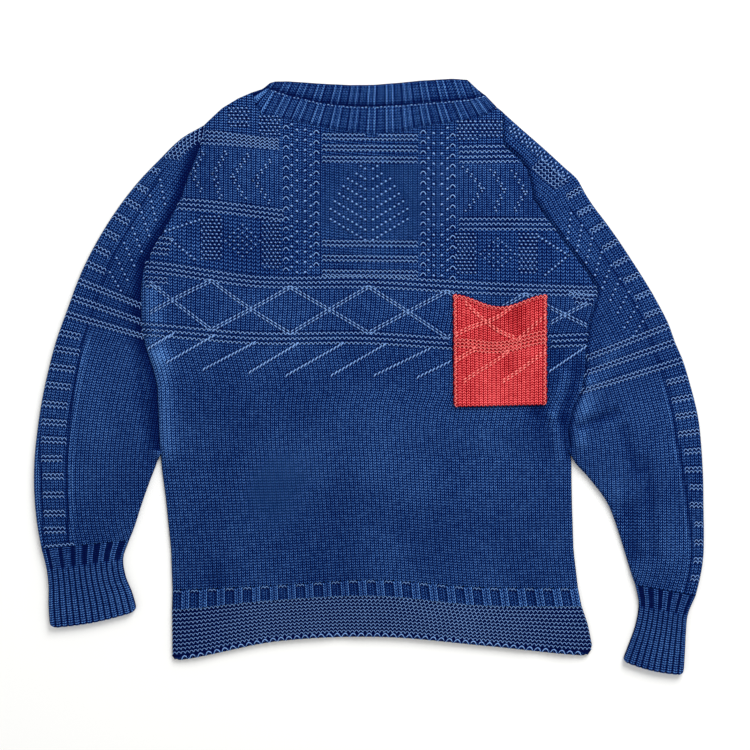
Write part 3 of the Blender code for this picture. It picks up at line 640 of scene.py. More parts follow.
def chartFront():
    stitch, step = chart["stitch"], chart["caretStep"]
    left, right = centrePanel
    for band, ridges, low, high in chart["bands"]:
        for k in range(ridges):
            heights = courseBetween(band + "Top", band + "Foot", k / (ridges - 1))
            for x, y, turn in zip(*courseLine(heights, garment["stitchesAcross"])):
                if low < x < high:
                    onFront("ridge", x, y, turn, *chart["ridgeLoop"])
    for bar in chart["bars"]:
        for ridge in (0.5, -0.5):
            y = bar + ridge * chart["barRidge"]
            for px, py in alongLine(left + 2.5, y, right - 2.5, y - 1.0, stitch):
                if py < neckY(px) - 2.0:
                    onFront("ridge", px, py, 0.0, *chart["ridgeLoop"])
    for x, top, foot in chart["carets"]:
        for y in np.arange(top, foot, -step):
            if y < neckY(x) - 3.0:
                onFront("caret", x, y, reach=3.6)
    for x, top, foot in chart["dotGroups"]:
        for y in np.arange(top, foot, -step):
            for dx, dy in ((-4.8, 0.0), (4.8, 0.0), (-11.2, 6.4), (11.6, 6.4)):
                if y + dy < neckY(x + dx) - 3.0:
                    onFront("dot", x + dx, y + dy, -0.4 if dx < 0 else 0.4, 1.15)
    middle, top, widest, foot, topHalf, widestHalf = chart["diamond"]
    for apex in np.arange(foot, top + 4.0, step):
        for m in range(11):
            dx, y = 4.7 + stitch * m, apex + chart["diamondRow"] * m
            half = np.interp(y, [foot, widest, top], [8.0, widestHalf, topHalf])
            if dx <= half and y <= top:
                for side in (-1, 1):
                    onFront("dot", middle + side * dx, y, side * 0.35)
    for x0, y0, x1, y1, x2, y2 in chart["zigzags"]:
        for run in ((x0, y0, x1, y1), (x1, y1, x2, y2)):
            for n, (px, py) in enumerate(alongLine(*run, 3.9)):
                onFront("dot", px + (1.7 if n % 2 else -1.7), py, -0.3, 0.85, 0.8, 2.1)
    for x0, x1, top, foot in chart["moss"]:
        for row, y in enumerate(np.arange(top, foot, -chart["mossRow"])):
            for x in np.arange(x0 + (row % 2) * stitch * 0.5, x1, stitch):
                onFront("dot", x, y, -0.35, 0.85, 0.7, 2.4)
    for x0, y0, halfWidth, halfHeight in chart["mossDiamonds"]:
        for row in range(-5, 6):
            for column in range(-5, 6):
                dx, dy = column * stitch, row * chart["mossDiamondRow"]
                if (row + column) % 2 == 0 and abs(dx) / halfWidth + abs(dy) / halfHeight < 1.12:
                    onFront("dot", x0 + dx, y0 + dy, -0.3, 0.85, 0.8, 2.1)
    # straight runs: how far apart their loops stand, and kind, turn and size of a loop
    for run, apart, kind, *shape in (("slants", 5.0, "dot", 0.95, 1.7, 0.7, 2.4),
                                     ("shortRidges", stitch, "ridge", 0.0, 1.0, 0.9, 2.9),
                                     ("dotLines", 5.6, "dot", 0.4)):
        for ends in chart[run]:
            for px, py in alongLine(*ends, apart):
                onFront(kind, px, py, *shape)
    # the lattice: each diagonal is two loops thick
    for k in range(8):
        upper = chart["latticeStart"] + k * chart["latticeStep"]
        for toRight in (-1, 1):
            for n in range(chart["latticeLoops"]):
                share = (n + 0.5) / chart["latticeLoops"]
                x = mix(upper, upper + toRight * chart["latticeStep"], share)
                u = np.array([(x + 273.0) / 546.0])
                if 0.015 < u[0] < 0.985:
                    high, low = (throughFive(courses[name], u)[0]
                                 for name in ("upperBandFoot", "lowerBandTop"))
                    for offset in (-1.5, 1.9):
                        onFront("dot", x, mix(high, low, share) + offset, toRight * -0.75, 1.3, 0.6, 2.1)


chartFront()
print("front charted:", sum(len(rows) for rows in frontWork.rows.values()), "loops")


# adds rows at the given sides that turn the sheet's edge down, and a little under
def sheetRim(grids, sides, drop, wrap):
    for side in sides:
        axis = 0 if side in ("foot", "head") else 1
        first = side in ("foot", "left")
        x, y, z, relief, wale, course = (np.take(g, [0 if first else -1], axis=axis) for g in grids)
        innerX, innerY = (np.take(g, [1 if first else -2], axis=axis) for g in grids[:2])
        length = np.maximum(np.hypot(x - innerX, y - innerY), 1e-6)
        outX, outY = (x - innerX) / length, (y - innerY) / length
        # the turned rows darken as they go down: painted shade on the rolled edge
        added = [(x + outX * out, y + outY * out, mix(z, drop, share), relief * (1.0 - 0.4 * share),
                  wale, course) for out, share in ((0.5, 0.45), (0.2, 0.8), (-wrap, 1.0))]
        rims = [list(rows) for rows in zip(*added)]
        grids = [np.concatenate(rim[::-1] + [g] if first else [g] + rim, axis=axis)
                 for rim, g in zip(rims, grids)]
    return grids


# quads of a grid that are not wholly outside
def quadsInside(out):
    return ~(out[:-1, :-1] & out[:-1, 1:] & out[1:, :-1] & out[1:, 1:])


# rows above the neck bars, as far as an edge line or the body's edges
def rowsToTop(x, y, wale, course, cut, last, rowHeight, limitAt):
    extra = np.arange(1, int(72.0 / rowHeight * 2)) / 2       # two grid rows to a knitted row
    more = y[-1][None, :] + extra[:, None] * rowHeight
    fromX = edgeX(leftEdge, np.minimum(more, leftEdge[0, 1]))
    toX = edgeX(rightEdge, np.minimum(more, rightEdge[0, 1]))
    moreX, moreCut = waleX(np.linspace(0.0, 1.0, x.shape[1])[None, :], fromX, toX, 300.0)
    limit = limitAt(moreX)
    over = np.vstack([cut, moreCut | (more >= limit)])
    x, y = np.vstack([x, moreX]), np.vstack([y, np.minimum(more, limit)])
    course = np.vstack([course, last + extra[:, None] + 0.0 * moreX])
    wale = np.vstack([wale, np.repeat(wale[:1], len(extra), axis=0)])
    return x, y, wale, course, quadsInside(over)


def makeFront(name, fromCourse, toCourse, toNeck):
    rowHeight = garment["rowHeight"]
    x, y, wale, course, last, cut = bodyGrid(fromCourse, toCourse, garment["stitchesAcross"], 4, 2,
                                             rowHeight)
    keep = quadsInside(cut)
    if toNeck:
        x, y, wale, course, keep = rowsToTop(x, y, wale, course, cut, last, rowHeight, neckY)
    near = frontWork.near(x, y)
    z = upperHeight(x, y) + stitchRise(wale, course, near, garment["purlDip"])
    # the ground round each purl loop is darkened: painted shade
    return gridMesh(name, x, y, z, mix(foldRelief(x, y), -0.42, near), wale, course, keep)


# an edge of a sheet, turned down to the layer beneath along a line of points
def rimStrip(name, x, y, outward):
    along = np.stack([np.gradient(x), np.gradient(y)])
    along = along / np.maximum(np.hypot(*along), 1e-6)
    outX, outY = along[1] * outward, -along[0] * outward
    # how far out each row of points lies, and how far down it is
    steps = np.array([(0.0, 0.0), (0.35, 0.35), (0.2, 0.75), (-1.2, 1.0)])
    out, share = steps.T[..., None]
    z = mix(upperHeight(x, y), garment["rimFoot"], share)
    row, stitch = np.meshgrid(np.arange(len(x)), np.arange(len(steps)) * 0.3)
    return gridMesh(name, x + outX * out, y + outY * out, z, 0.4 + 0.25 * np.cos(row * 2.0), stitch,
                    row, None, outward > 0)


# the front's two long edges
def sideRims(name, fromCourse, toCourse):
    strips = []
    for edge, index, outward in ((leftEdge, 0, -1.0), (rightEdge, 4, 1.0)):
        lowY, highY = courses[fromCourse][index], courses[toCourse][index]
        if toCourse == "neckBarsTop":
            highY = edge[0, 1]
        y = np.linspace(lowY, highY, max(int((highY - lowY) / 3.0), 4))
        strips.append(rimStrip(name, edgeX(edge, y), y, outward))
    return strips


# the shoulders, where the front turns over to the back
def shoulderRims(name):
    strips = []
    for points in (shoulderLeft + [neck[0, :2]], [neck[-1, :2]] + shoulderRight):
        x = np.linspace(points[0][0], points[-1][0], 24)
        strips.append(rimStrip(name, x, lineY(points, x), -1.0))
    return strips


def finishPiece(obj, material, nodes):
    obj.data.materials.clear()
    obj.data.materials.append(material)
    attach(obj, "root")
    if nodes:
        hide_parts(*nodes)


upperPiece = join("frontYoke", [makeFront("frontYoke", "lowerBandFoot", "neckBarsFoot", True)]
                  + sideRims("yokeRim", "lowerBandFoot", "neckBarsTop") + shoulderRims("shoulderRim"))
lowerPiece = join("frontBody", [makeFront("frontBody", "cellsTop", "lowerBandFoot", False)]
                  + sideRims("bodyRim", "cellsTop", "lowerBandFoot"))
finishPiece(upperPiece, indigoKnit, ["front"])
finishPiece(lowerPiece, indigoKnit, ["front"])
print("front knitted")

# The hem: a course of upright cells over a garter welt

hem = {
    "cells": 23, "cellRise": 1.3, "ridges": 12, "corner": 6.0, "castOnLoops": 52,
    # across a cell, 0 to 1: where its sunk panel ends, the grooves, and the rib's two bright legs
    "panel": 0.46, "grooves": (0.44, 0.02), "legs": (0.52, 0.95),
    "arcs": (0.13, 0.33),       # the pair of small arcs that closes a panel
}


def makeHemBand():
    x, y, cell, course, last, _ = bodyGrid("cellsFoot", "cellsTop", hem["cells"], 20, 2, 1.7)
    phase = cell - np.floor(cell)
    up = course / last
    # each cell is a raised knitted rib beside a sunk panel
    rib = softStep((phase - hem["panel"]) / 0.05) * softStep((1.0 - phase) / 0.05)
    edges = sum(bumpAt(phase, leg, 0.04) for leg in hem["legs"])
    fade = 1.0 - softStep((up - 0.9) / 0.1)
    groove = sum(bumpAt(phase, at, 0.035) for at in hem["grooves"])
    topShade = bumpAt(up, 0.84, 0.05) * (1.0 - rib)
    relief = mix(0.36, 0.5 + 0.42 * edges, rib) - 0.45 * groove * fade - 0.4 * topShade
    rise = hem["cellRise"] * (rib * (0.7 + 0.3 * edges) * fade) - 0.5 * (1.0 - rib) * fade
    z = upperHeight(x, y) + rise
    return gridMesh("hemCells", x, y, z, np.clip(relief, -0.2, 1.0), cell * 4.0,
                    course * 0.55 - slant(cell * 4.0))


# rounds the two corners of the hem
def hemCorners(x, y):
    inside = np.clip(1.0 - insideBody(x, y) / hem["corner"], 0.0, 1.0)
    lowest = throughFive(courses["hem"], (x - leftEdge[-1, 0]) / (rightEdge[-1, 0] - leftEdge[-1, 0]))
    return np.maximum(y, lowest + hem["corner"] * (1.0 - np.sqrt(1.0 - inside**2)))


def makeWelt():
    ridgeHeight = (courses["cellsFoot"][2] - courses["hem"][2]) / hem["ridges"]
    x, y, wale, course, _, _ = bodyGrid("hem", "cellsFoot", garment["stitchesAcross"], 2, 4,
                                        ridgeHeight)
    y = hemCorners(x, y)
    z = upperHeight(x, y) - 0.4
    # painted shade: the ground between the welt's ridges is dark, and only its first course is lighter
    relief = mix(0.25, -0.3, softStep(course / 1.1))
    return gridMesh("weltGround", *sheetRim((x, y, z, relief, wale, course),
                                            ["left", "right", "foot"], garment["rimFoot"], 1.0))


def chartWelt():
    work = LoopWork()
    for k in range(1, hem["ridges"]):
        share = (k + 0.85) / hem["ridges"]
        x, y, turn = courseLine(courseBetween("hem", "cellsFoot", share), garment["stitchesAcross"])
        z = upperHeight(x, y) + 0.05
        for row in zip(x, y, z, turn):
            work.add("welt", *row, 1.0, 0.86)
    # the cast-on edge: loops that hang the other way and roll over
    x, y, turn = courseLine(courses["hem"], hem["castOnLoops"])
    z = upperHeight(x, y) - 0.7
    for row in zip(x[1:-1], y[1:-1] + 3.2, z[1:-1], turn[1:-1]):
        work.add("ridge", *row, 1.6, 1.6)
    # a pair of small arcs closes each sunk panel above
    perCell = 25
    x, y, turn = courseLine(courseBetween("cellsFoot", "cellsTop", 0.93), hem["cells"] * perCell)
    for cell in range(hem["cells"]):
        for at in hem["arcs"]:
            n = int((cell + at) * perCell)
            work.add("ridge", x[n], y[n], float(upperHeight(x[n], y[n])) + 0.2, turn[n], 0.86, 0.75)
    return work


finishPiece(join("hemCells", [makeHemBand()] + sideRims("hemCellsRim", "cellsFoot", "cellsTop")),
            indigoKnit, ["hem_band_front"])
finishPiece(makeWelt(), indigoKnit, ["welt_front"])
makeLoopWork("weltLoops", chartWelt(), indigoLoop)
print("hem knitted")

# Sleeves: wales run along the outer fold, and the armhole or the inner fold cuts them

# Courses of each sleeve: x, y on the outer fold, then x, y on the armhole or the inner fold
leftSleeve = np.array([
    (-196.8, 302.3, -196.9, 302.0), (-223.8, 286.8, -202.2, 281.4), (-250.2, 261.6, -214.2, 256.2),
    (-285.0, 223.8, -244.2, 193.8), (-316.2, 179.4, -265.8, 147.0), (-343.8, 127.8, -274.2, 95.4),
    (-363.0, 77.4, -273.4, 48.6), (-375.0, 43.8, -269.4, 22.2), (-384.6, 7.8, -259.8, -9.0),
    (-393.0, -31.8, -253.8, -46.2), (-397.8, -64.2, -251.4, -73.8), (-401.4, -100.2, -253.8, -101.4),
    (-402.0, -124.2, -262.2, -124.2), (-400.8, -154.2, -272.4, -153.0), (-397.8, -180.6, -280.8, -179.4),
    (-393.0, -207.0, -287.4, -196.2),
])
rightSleeve = np.array([
    (161.4, 317.4, 161.6, 316.8), (184.2, 297.0, 162.8, 276.6), (213.0, 271.8, 193.0, 246.0),
    (235.0, 251.5, 197.0, 220.0), (251.9, 235.7, 204.0, 204.0), (258.1, 223.9, 211.0, 194.5),
    (268.4, 207.4, 221.5, 180.5), (285.0, 185.3, 239.0, 156.0), (298.8, 166.0, 253.0, 138.0),
    (312.6, 145.3, 267.0, 118.5), (326.4, 123.9, 274.6, 98.0), (338.8, 103.9, 269.5, 73.0),
    (351.1, 81.8, 263.5, 46.5), (360.8, 62.5, 261.0, 22.0), (368.0, 42.0, 260.4, 3.0),
    (377.4, 20.3, 256.0, -18.6), (386.0, -8.0, 248.0, -40.0), (396.6, -52.2, 241.0, -76.0),
    (400.0, -85.0, 246.0, -100.0), (402.0, -120.0, 264.0, -121.0), (402.6, -160.2, 288.0, -154.0),
    (403.0, -190.0, 301.8, -191.4), (402.0, -220.2, 310.0, -218.0), (398.0, -244.0, 316.0, -238.0),
    (393.0, -263.4, 320.4, -250.2),
])


# a polyline's points at even steps of the middle line, by smooth interpolation
def spine(table, step):
    middle = table[:, :2] * 0.65 + table[:, 2:4] * 0.35
    length = np.concatenate([[0.0], np.cumsum(np.hypot(*np.diff(middle, axis=0).T))])
    at = np.linspace(0.0, length[-1], int(length[-1] / step) + 1)
    fine = np.stack([smoothThrough(length, table[:, k], at) for k in range(4)], axis=-1)
    return fine, at


# as spine, with the inner ends tucked under the body's edge as far down as the underarm
def sleeveSpine(side, step):
    plan = sleeveChart[side]
    rows, at = spine(plan["rows"], step)
    inward = 1.0 if side == "left" else -1.0
    tucked = edgeX(plan["bodyEdge"], rows[:, 3]) + inward * plan["tuck"]
    free = softStep((plan["underarmY"] - rows[:, 3]) / 14.0)
    rows[:, 2] = mix(tucked, rows[:, 2], free)
    return rows, at, free


# Catmull-Rom through uneven points
def smoothThrough(at, values, where):
    slopes = np.gradient(values, at)
    i = np.clip(np.searchsorted(at, where) - 1, 0, len(at) - 2)
    span = at[i + 1] - at[i]
    t = (where - at[i]) / span
    return cubic(values[i], values[i + 1], slopes[i] * span, slopes[i + 1] * span, t)


# the lines between the two folds at distances along a spine, and their widths
def foldLines(rows, at, along):
    lines = np.stack([np.interp(along, at, rows[:, k]) for k in range(4)], axis=-1)
    return lines, np.hypot(lines[..., 2] - lines[..., 0], lines[..., 3] - lines[..., 1])


# x and y at a share of the way across such lines
def acrossLines(lines, share):
    return mix(lines[..., 0], lines[..., 2], share), mix(lines[..., 1], lines[..., 3], share)


# top of a sleeve: rolls down to its folded edge, and sinks into the armhole's seam
def sleeveSkin(x, y, fromFold, fromSeam, valley):
    height = mix(2.4, sleeveHeight(x, y), softStep(fromSeam / valley))
    return mix(3.2, height, quarterRound(fromFold, 4.2))


def sleeveGrid(side, wale, rowHeight):
    perStitch, perRow = 4, 2
    rows, at, free = sleeveSpine(side, rowHeight / perRow)
    widest = foldLines(rows, at, at)[1].max()
    columns = int(widest / wale * perStitch) + 2
    wales, coursesOf = np.meshgrid(np.arange(columns) / perStitch, at / rowHeight)
    swung = np.clip(at[:, None] - slant(wales) * rowHeight, 0.0, at[-1])
    lines, width = foldLines(rows, at, swung)
    atFree = np.interp(swung, at, free)
    reach = np.minimum(wales * wale, width)
    x, y = acrossLines(lines, reach / np.maximum(width, 1e-6))
    keep = quadsInside(wales * wale >= width)
    fromFold = np.minimum(reach, mix(60.0, width - reach, atFree))
    fromSeam = mix(width - reach, 60.0, atFree)
    return x, y, wales, coursesOf, keep, fromFold, fromSeam


# The sunk wale beside a ladder: its place past the ladder's end in wales, its shade and depth, the
# millimetres over which it fades in, and how much lighter the wales next to it are
ladderEdge = {"place": 0.65, "shade": 0.45, "depth": 0.8, "fade": 20.0, "light": 0.3}


def makeSleeve(side, work, wale, rowHeight):
    x, y, wales, course, keep, fromFold, fromSeam = sleeveGrid(side, wale, rowHeight)
    plan = sleeveChart[side]
    near = work.near(x, y)
    # the ground round each purl loop is darkened: painted shade
    relief = mix(foldRelief(x, y), -0.2, near)
    # a sunk wale each side of the ladder, and the wales that edge it stand proud
    foldY = y[:, :1]
    below = softStep((plan["edgeWaleFrom"] - foldY) / ladderEdge["fade"]) * (1.0 - near)
    start = np.interp(foldY, plan["ladderY"], plan["ladderFrom"])
    end = np.interp(foldY, plan["ladderY"], plan["ladderTo"])
    edged = below * softStep((start - 0.9) / 0.6)
    groove = mix(0.3, ladderEdge["shade"], below) * (1.0 - near)
    groove = groove * softStep((plan["ladderY"][-1] - foldY) / ladderEdge["fade"])
    relief = relief - groove * bumpAt(wales - end, ladderEdge["place"], 0.3)
    relief = relief - ladderEdge["shade"] * edged * bumpAt(wales - start, -0.3, 0.25)
    # a sunk wale each side of the ladder takes painted shade, and the wales that edge it stand proud and
    # take a painted highlight
    for beside in plan["edgeWales"]:
        relief = relief + ladderEdge["light"] * below * bumpAt(wales - end, beside, 0.16)
    relief = relief + 0.25 * edged * bumpAt(wales, start * 0.45, 0.4)
    z = sleeveSkin(x, y, fromFold, fromSeam, plan["valley"])
    z = z + stitchRise(wales, course, near, garment["purlDip"])
    z = z - ladderEdge["depth"] * below * bumpAt(wales - end, ladderEdge["place"], 0.4)
    z = np.maximum(z, garment["rimFoot"])
    relief = relief - plan["shade"] * (1.0 - softStep((fromSeam - plan["tuck"]) / plan["valley"]))
    return gridMesh(side + "Sleeve", x, y, z, np.clip(relief, -0.3, 1.0), wales, course, keep,
                    side == "left")


# the side that rests on the surface: flat, with its edges rolled up to meet the top
def makeSleeveUnder(side, wale, rowHeight):
    rows, at, free = sleeveSpine(side, 9.0)
    shares = np.concatenate([[0.0, 0.008, 0.02, 0.04], np.linspace(0.09, 0.91, 16),
                             [0.96, 0.98, 0.992, 1.0]])
    s, course = np.meshgrid(shares, at / rowHeight)
    lines, width = foldLines(rows, at, at[:, None])
    x, y = acrossLines(lines, s)
    reach = s * width
    away = np.minimum(reach, mix(60.0, width - reach, free[:, None]))
    z = mix(3.3, 0.0, quarterRound(away, garment["underRoll"]))
    return gridMesh(side + "SleeveUnder", x, y, z, np.full_like(x, plainRelief), reach / wale, course,
                    None, side == "right")


# x, y of a stitch of a sleeve, the direction of its course and the sleeve's width there
def sleevePlace(spineOf, wale, rowHeight, course, wales):
    line, width = foldLines(*spineOf[:2], course * rowHeight)
    turn = math.atan2(line[3] - line[1], line[2] - line[0])
    return *acrossLines(line, wales * wale / max(width, 1e-6)), turn, width


# The ladder runs down the outer fold: at heights of the fold, its first and last wale
sleeveChart = {
    "left": {
        "rows": leftSleeve, "bodyEdge": leftEdge, "tuck": 4.0, "underarmY": -86.0, "valley": 15.0,
        "shade": 0.62,
        "rungs": [249.0, 230.0, 213.0, 195.0, 175.6, 156.0, 137.0, 53.4, 34.2, 12.6, -9.0, -31.8, -53.4,
                  -75.0, -97.8, -119.4, -141.6, -163.8, -184.2],       # y on the outer fold
        "bars": [115.5, 95.5, 75.5], "rungGap": 0.74,
        "ladderY": (-200.0, -160.0, -118.0, -29.0, 60.0, 200.0, 260.0),
        "ladderFrom": (1.2, 2.2, 2.2, 0.3, 0.3, 0.3, 0.3),
        "ladderTo": (6.0, 7.2, 7.3, 6.7, 5.6, 4.3, 2.2),
        "edgeWales": (1.3, 2.0), "edgeWaleFrom": 70.0, "lastRidge": -204.0,
        "dotLines": [
            (-250.0, 236.0, -244.0, 207.0), (-262.0, 217.0, -255.0, 188.0),
            (-272.0, 197.0, -263.0, 169.0), (-283.0, 178.0, -272.0, 150.0),
            (-293.0, 160.0, -281.0, 133.0), (-302.0, 142.0, -289.0, 116.0),
            (-310.0, 125.0, -297.0, 103.0),
        ],
        "shoulderBand": (300.0, 262.0, 0.8, 4), "moss": (0.0, 0.0, 0, 0),
    },
    "right": {
        "rows": rightSleeve, "bodyEdge": rightEdge, "tuck": 3.0, "underarmY": -84.0, "valley": 8.0,
        "shade": 0.22,
        "rungs": [226.5, 205.0, 185.0, 164.0, 144.0, 124.0, 102.5, 80.8, -0.6, -23.4, -43.8, -65.4,
                  -88.2, -111.0, -132.6, -154.2, -177.0, -198.6, -220.2, -241.8],
        "bars": [61.5, 42.0, 20.3], "rungGap": 0.62,
        "ladderY": (-250.0, -199.0, -155.0, -110.0, -66.0, 80.0, 226.0),
        "ladderFrom": (0.4, 0.4, 0.4, 0.4, 0.4, 0.4, 0.4),
        "ladderTo": (2.2, 2.4, 3.3, 4.3, 5.3, 4.6, 4.2),
        "edgeWales": (0.8, 1.6), "edgeWaleFrom": 14.0, "lastRidge": None,
        "dotLines": [
            (242.9, 195.7, 238.8, 165.4), (256.0, 181.2, 249.9, 150.8), (268.1, 165.7, 261.0, 136.7),
            (279.6, 148.9, 271.7, 121.7), (291.0, 133.1, 280.4, 106.7), (301.7, 117.2, 290.2, 91.7),
            (312.2, 101.4, 298.9, 76.7), (322.0, 83.6, 307.0, 58.9), (328.9, 66.0, 317.4, 48.6),
        ],
        "shoulderBand": (268.0, 238.0, 2.4, 4), "moss": (304.0, 240.0, 0.8, 2),
    },
}


def chartSleeve(side, wale, rowHeight):
    plan = sleeveChart[side]
    work = LoopWork()
    spineOf = sleeveSpine(side, rowHeight / 2)
    flip = 0.0 if side == "left" else math.pi

    def onSleeve(kind, course, w, width=1.0, height=1.0, reach=2.9, swing=0.0, clear=3.0):
        x, y, turn, across = sleevePlace(spineOf, wale, rowHeight, course, w)
        if w * wale <= across - clear:
            z = float(sleeveSkin(x, y, w * wale, across - w * wale, plan["valley"])) + 0.15
            work.add(kind, x, y, z, turn + flip + swing, width, height, reach)

    # number of the course that meets the outer fold at a height
    def courseOf(y):
        return float(np.interp(-y, -spineOf[0][:, 1], spineOf[1])) / rowHeight

    for y in plan["rungs"]:
        first, last = (np.interp(y, plan["ladderY"], plan[end]) for end in ("ladderFrom", "ladderTo"))
        for ridge in (-plan["rungGap"], plan["rungGap"]):
            for w in np.arange(first + 0.5, last, 1.0):
                onSleeve("ridge", courseOf(y) + ridge, w)
    for y in plan["bars"]:
        for ridge in (-0.75, 0.75):
            for w in np.arange(0.7, 34.0):
                onSleeve("ridge", courseOf(y) + ridge, w)
    if plan["lastRidge"]:
        for w in np.arange(1.5, 8.0, 1.0):
            onSleeve("ridge", courseOf(plan["lastRidge"]), w)
    # the shoulder's garter band runs down along the fold
    topY, footY, firstWale, ridges = plan["shoulderBand"]
    for n in range(ridges):
        for c in np.arange(courseOf(topY), courseOf(footY), 5.1 / rowHeight):
            onSleeve("ridge", c, firstWale + n * 0.98, 1.0, 0.9, 2.9, math.pi / 2)
    topY, footY, firstWale, wide = plan["moss"]
    for n, c in enumerate(np.arange(courseOf(topY), courseOf(footY), 1.3) if wide else []):
        for w in range(wide):
            onSleeve("dot", c, firstWale + w + 0.5 * (n % 2), 1.0, 0.85, 2.2, 0.3, 1.0)
    # single lines of dots slant from the ladder towards the armhole
    for x0, y0, x1, y1 in plan["dotLines"]:
        for px, py in alongLine(x0, y0, x1, y1, 6.8):
            work.add("dot", px, py, float(sleeveHeight(px, py)) + 0.15, -0.3, 1.0, 1.0, 2.5)
    return work


def addSleeve(side, node):
    wale, rowHeight = garment["sleeveWale"], garment["sleeveRow"]
    work = chartSleeve(side, wale, rowHeight)
    piece = join(side + "Sleeve", [makeSleeve(side, work, wale, rowHeight),
                                   makeSleeveUnder(side, wale, rowHeight)])
    finishPiece(piece, indigoKnit, [node])
    makeLoopWork(side + "SleeveLoops", work, indigoLoop)


addSleeve("left", "sleeve_left")
addSleeve("right", "sleeve_right")
print("sleeves knitted")

# Cuffs: a course of upright slots, then fine ribs

cuffs = {
    "left": [(-393.0, -207.0, -287.4, -196.2), (-387.0, -231.0, -294.6, -217.8),
             (-384.6, -252.6, -292.2, -238.2), (-384.6, -275.4, -283.8, -259.8),
             (-382.8, -301.8, -277.8, -281.4)],
    "right": [(393.0, -263.4, 320.4, -250.2), (384.0, -285.0, 324.6, -273.0),
              (381.6, -306.6, 321.0, -297.0), (380.4, -330.6, 313.2, -319.8),
              (378.6, -358.2, 304.8, -341.4)],
    "ribs": {"left": 14, "right": 10}, "perRib": 12, "slots": {"left": 7, "right": 6}, "slotRows": 7.5,
    "slotHalf": (0.12, 0.27),       # half width of a slot at the outer and at the inner fold
    "ribRise": 1.1, "corner": 9.0, "bulge": 3.5,      # the hem bows out between rounded corners
}


def makeCuff(side):
    table = np.array(cuffs[side])
    ribs, slots = cuffs["ribs"][side], cuffs["slots"][side]

    def placeOn(rows, at, s, along):
        away = np.minimum(s, 1.0 - s) * 90.0
        inside = np.clip(1.0 - away / cuffs["corner"], 0.0, 1.0)
        corner = cuffs["corner"] * (1.0 - np.sqrt(1.0 - inside**2)) * 0.8
        along = np.clip(along, 0.0, at[-1] - corner)
        lines, width = foldLines(rows, at, along)
        x, y = acrossLines(lines, s)
        y = y - cuffs["bulge"] * np.sin(math.pi * s) * (along / at[-1])**3
        return x, y, np.minimum(s, 1.0 - s) * width
    rows, at = spine(table, 1.5)
    s, along = np.meshgrid(np.linspace(0.0, 1.0, ribs * cuffs["perRib"] + 1), at)
    x, y, away = placeOn(rows, at, s, along - slant(s * ribs) * 0.8)
    phase = s * ribs % 1.0
    rib = softStep((np.minimum(phase, 1.0 - phase) - 0.07) / 0.12)
    # slots between the ribs widen towards the inner fold
    slotPhase = np.abs(s * slots % 1.0 - 0.5)
    slotHalf = mix(*cuffs["slotHalf"], s)
    slot = 1.0 - softStep((slotPhase - slotHalf) / 0.05)
    slotEdge = bumpAt(slotPhase - slotHalf, 0.07, 0.04)
    inSlots = 1.0 - softStep((along / 3.1 - cuffs["slotRows"]) / 0.8)
    relief = mix(mix(-0.3, 0.56, rib), mix(0.46, -0.1, slot) + 0.3 * slotEdge, inSlots)
    rise = mix(cuffs["ribRise"] * (rib - 0.3), 0.8 * (1.0 - slot) - 0.4, inSlots)
    z = np.maximum(sleeveSkin(x, y, away, away + 60.0, 8.0) - 0.4 + rise, 2.6)
    grids = sheetRim((x, y, z, relief, s * ribs * 2.0, along / 2.6), ["head"], 2.9, 1.2)
    top = gridMesh(side + "Cuff", *grids, None, side == "left")
    rows, at = spine(table, 6.0)
    s = np.concatenate([[0.0, 0.01, 0.03, 0.06], np.linspace(0.12, 0.88, 12), [0.94, 0.97, 0.99, 1.0]])
    s, along = np.meshgrid(s, at)
    x, y, away = placeOn(rows, at, s, along)
    z = mix(3.1, 0.0, quarterRound(away, garment["underRoll"]))
    grids = sheetRim((x, y, z, 0.4 + 0.0 * x, s * ribs, along / 3.1), ["head"], 2.5, 1.2)
    under = gridMesh(side + "CuffUnder", *grids, None, side == "right")
    piece = join(side + "Cuff", [top, under])
    finishPiece(piece, indigoKnit, ["cuff_" + side])


makeCuff("left")
makeCuff("right")
print("cuffs knitted")

# Neckband: wide ribs, each edged by two raised wales

neckband = {
    "ribs": 13, "rise": 1.3, "perRib": 28, "stitchesPerRib": 5.7, "castOffLoops": 58,
    # across a rib, 0 to 1: its two raised wales, and the grooves beside them
    "wales": (0.14, 0.48), "grooves": (0.02, 0.61),
}


# points at even steps of x along a line
def alongPath(points, shares):
    x = mix(points[0][0], points[-1][0], shares)
    return x, lineY(points, x)


def makeNeckband(name, seam, edge, base, strength, drop, node, rests):
    ribs = neckband["ribs"]
    shares = np.linspace(0.0, 1.0, ribs * neckband["perRib"] + 1)
    s, a = np.meshgrid(shares, np.linspace(0.0, 1.0, 22))
    x, y = (mix(low, high, a) for low, high in zip(alongPath(seam, shares), alongPath(edge, shares)))
    phase = s * ribs % 1.0
    # two raised wales with a bright outer leg each, then a flat sunk panel
    wales = sum(bumpAt(phase, at, 0.045) for at in neckband["wales"])
    body = softStep((phase - 0.05) / 0.06) * softStep((0.57 - phase) / 0.06)
    groove = sum(bumpAt(phase, at, 0.035) for at in neckband["grooves"])
    seamShade = bumpAt(a, 0.0, 0.1) + 0.6 * bumpAt(a, 1.0, 0.08)
    relief = mix(0.42, 0.4 + 0.5 * wales, body) - 0.45 * groove - 0.25 * seamShade
    if not rests:
        # inside the collar, a painted shadow darkens the back band beside the front band's edge
        frontEdge = np.interp(x, neck[:, 2], neck[:, 3])
        relief = relief - 0.45 * bumpAt(np.maximum(y - frontEdge, 0.0), 0.0, 5.0)
    relief = np.clip(relief, -0.25, 1.0)
    rise = strength * (body * 0.6 + 0.5 * wales)
    z = base - 0.5 * (2.0 * a - 1.0)**2 + rise
    wale = s * ribs * neckband["stitchesPerRib"] + 0.65
    piece = gridMesh(name, *sheetRim((x, y, z, relief, wale, a * 9.0 - slant(wale)), ["head"], drop, 0.8))
    finishPiece(piece, indigoKnit, [node])


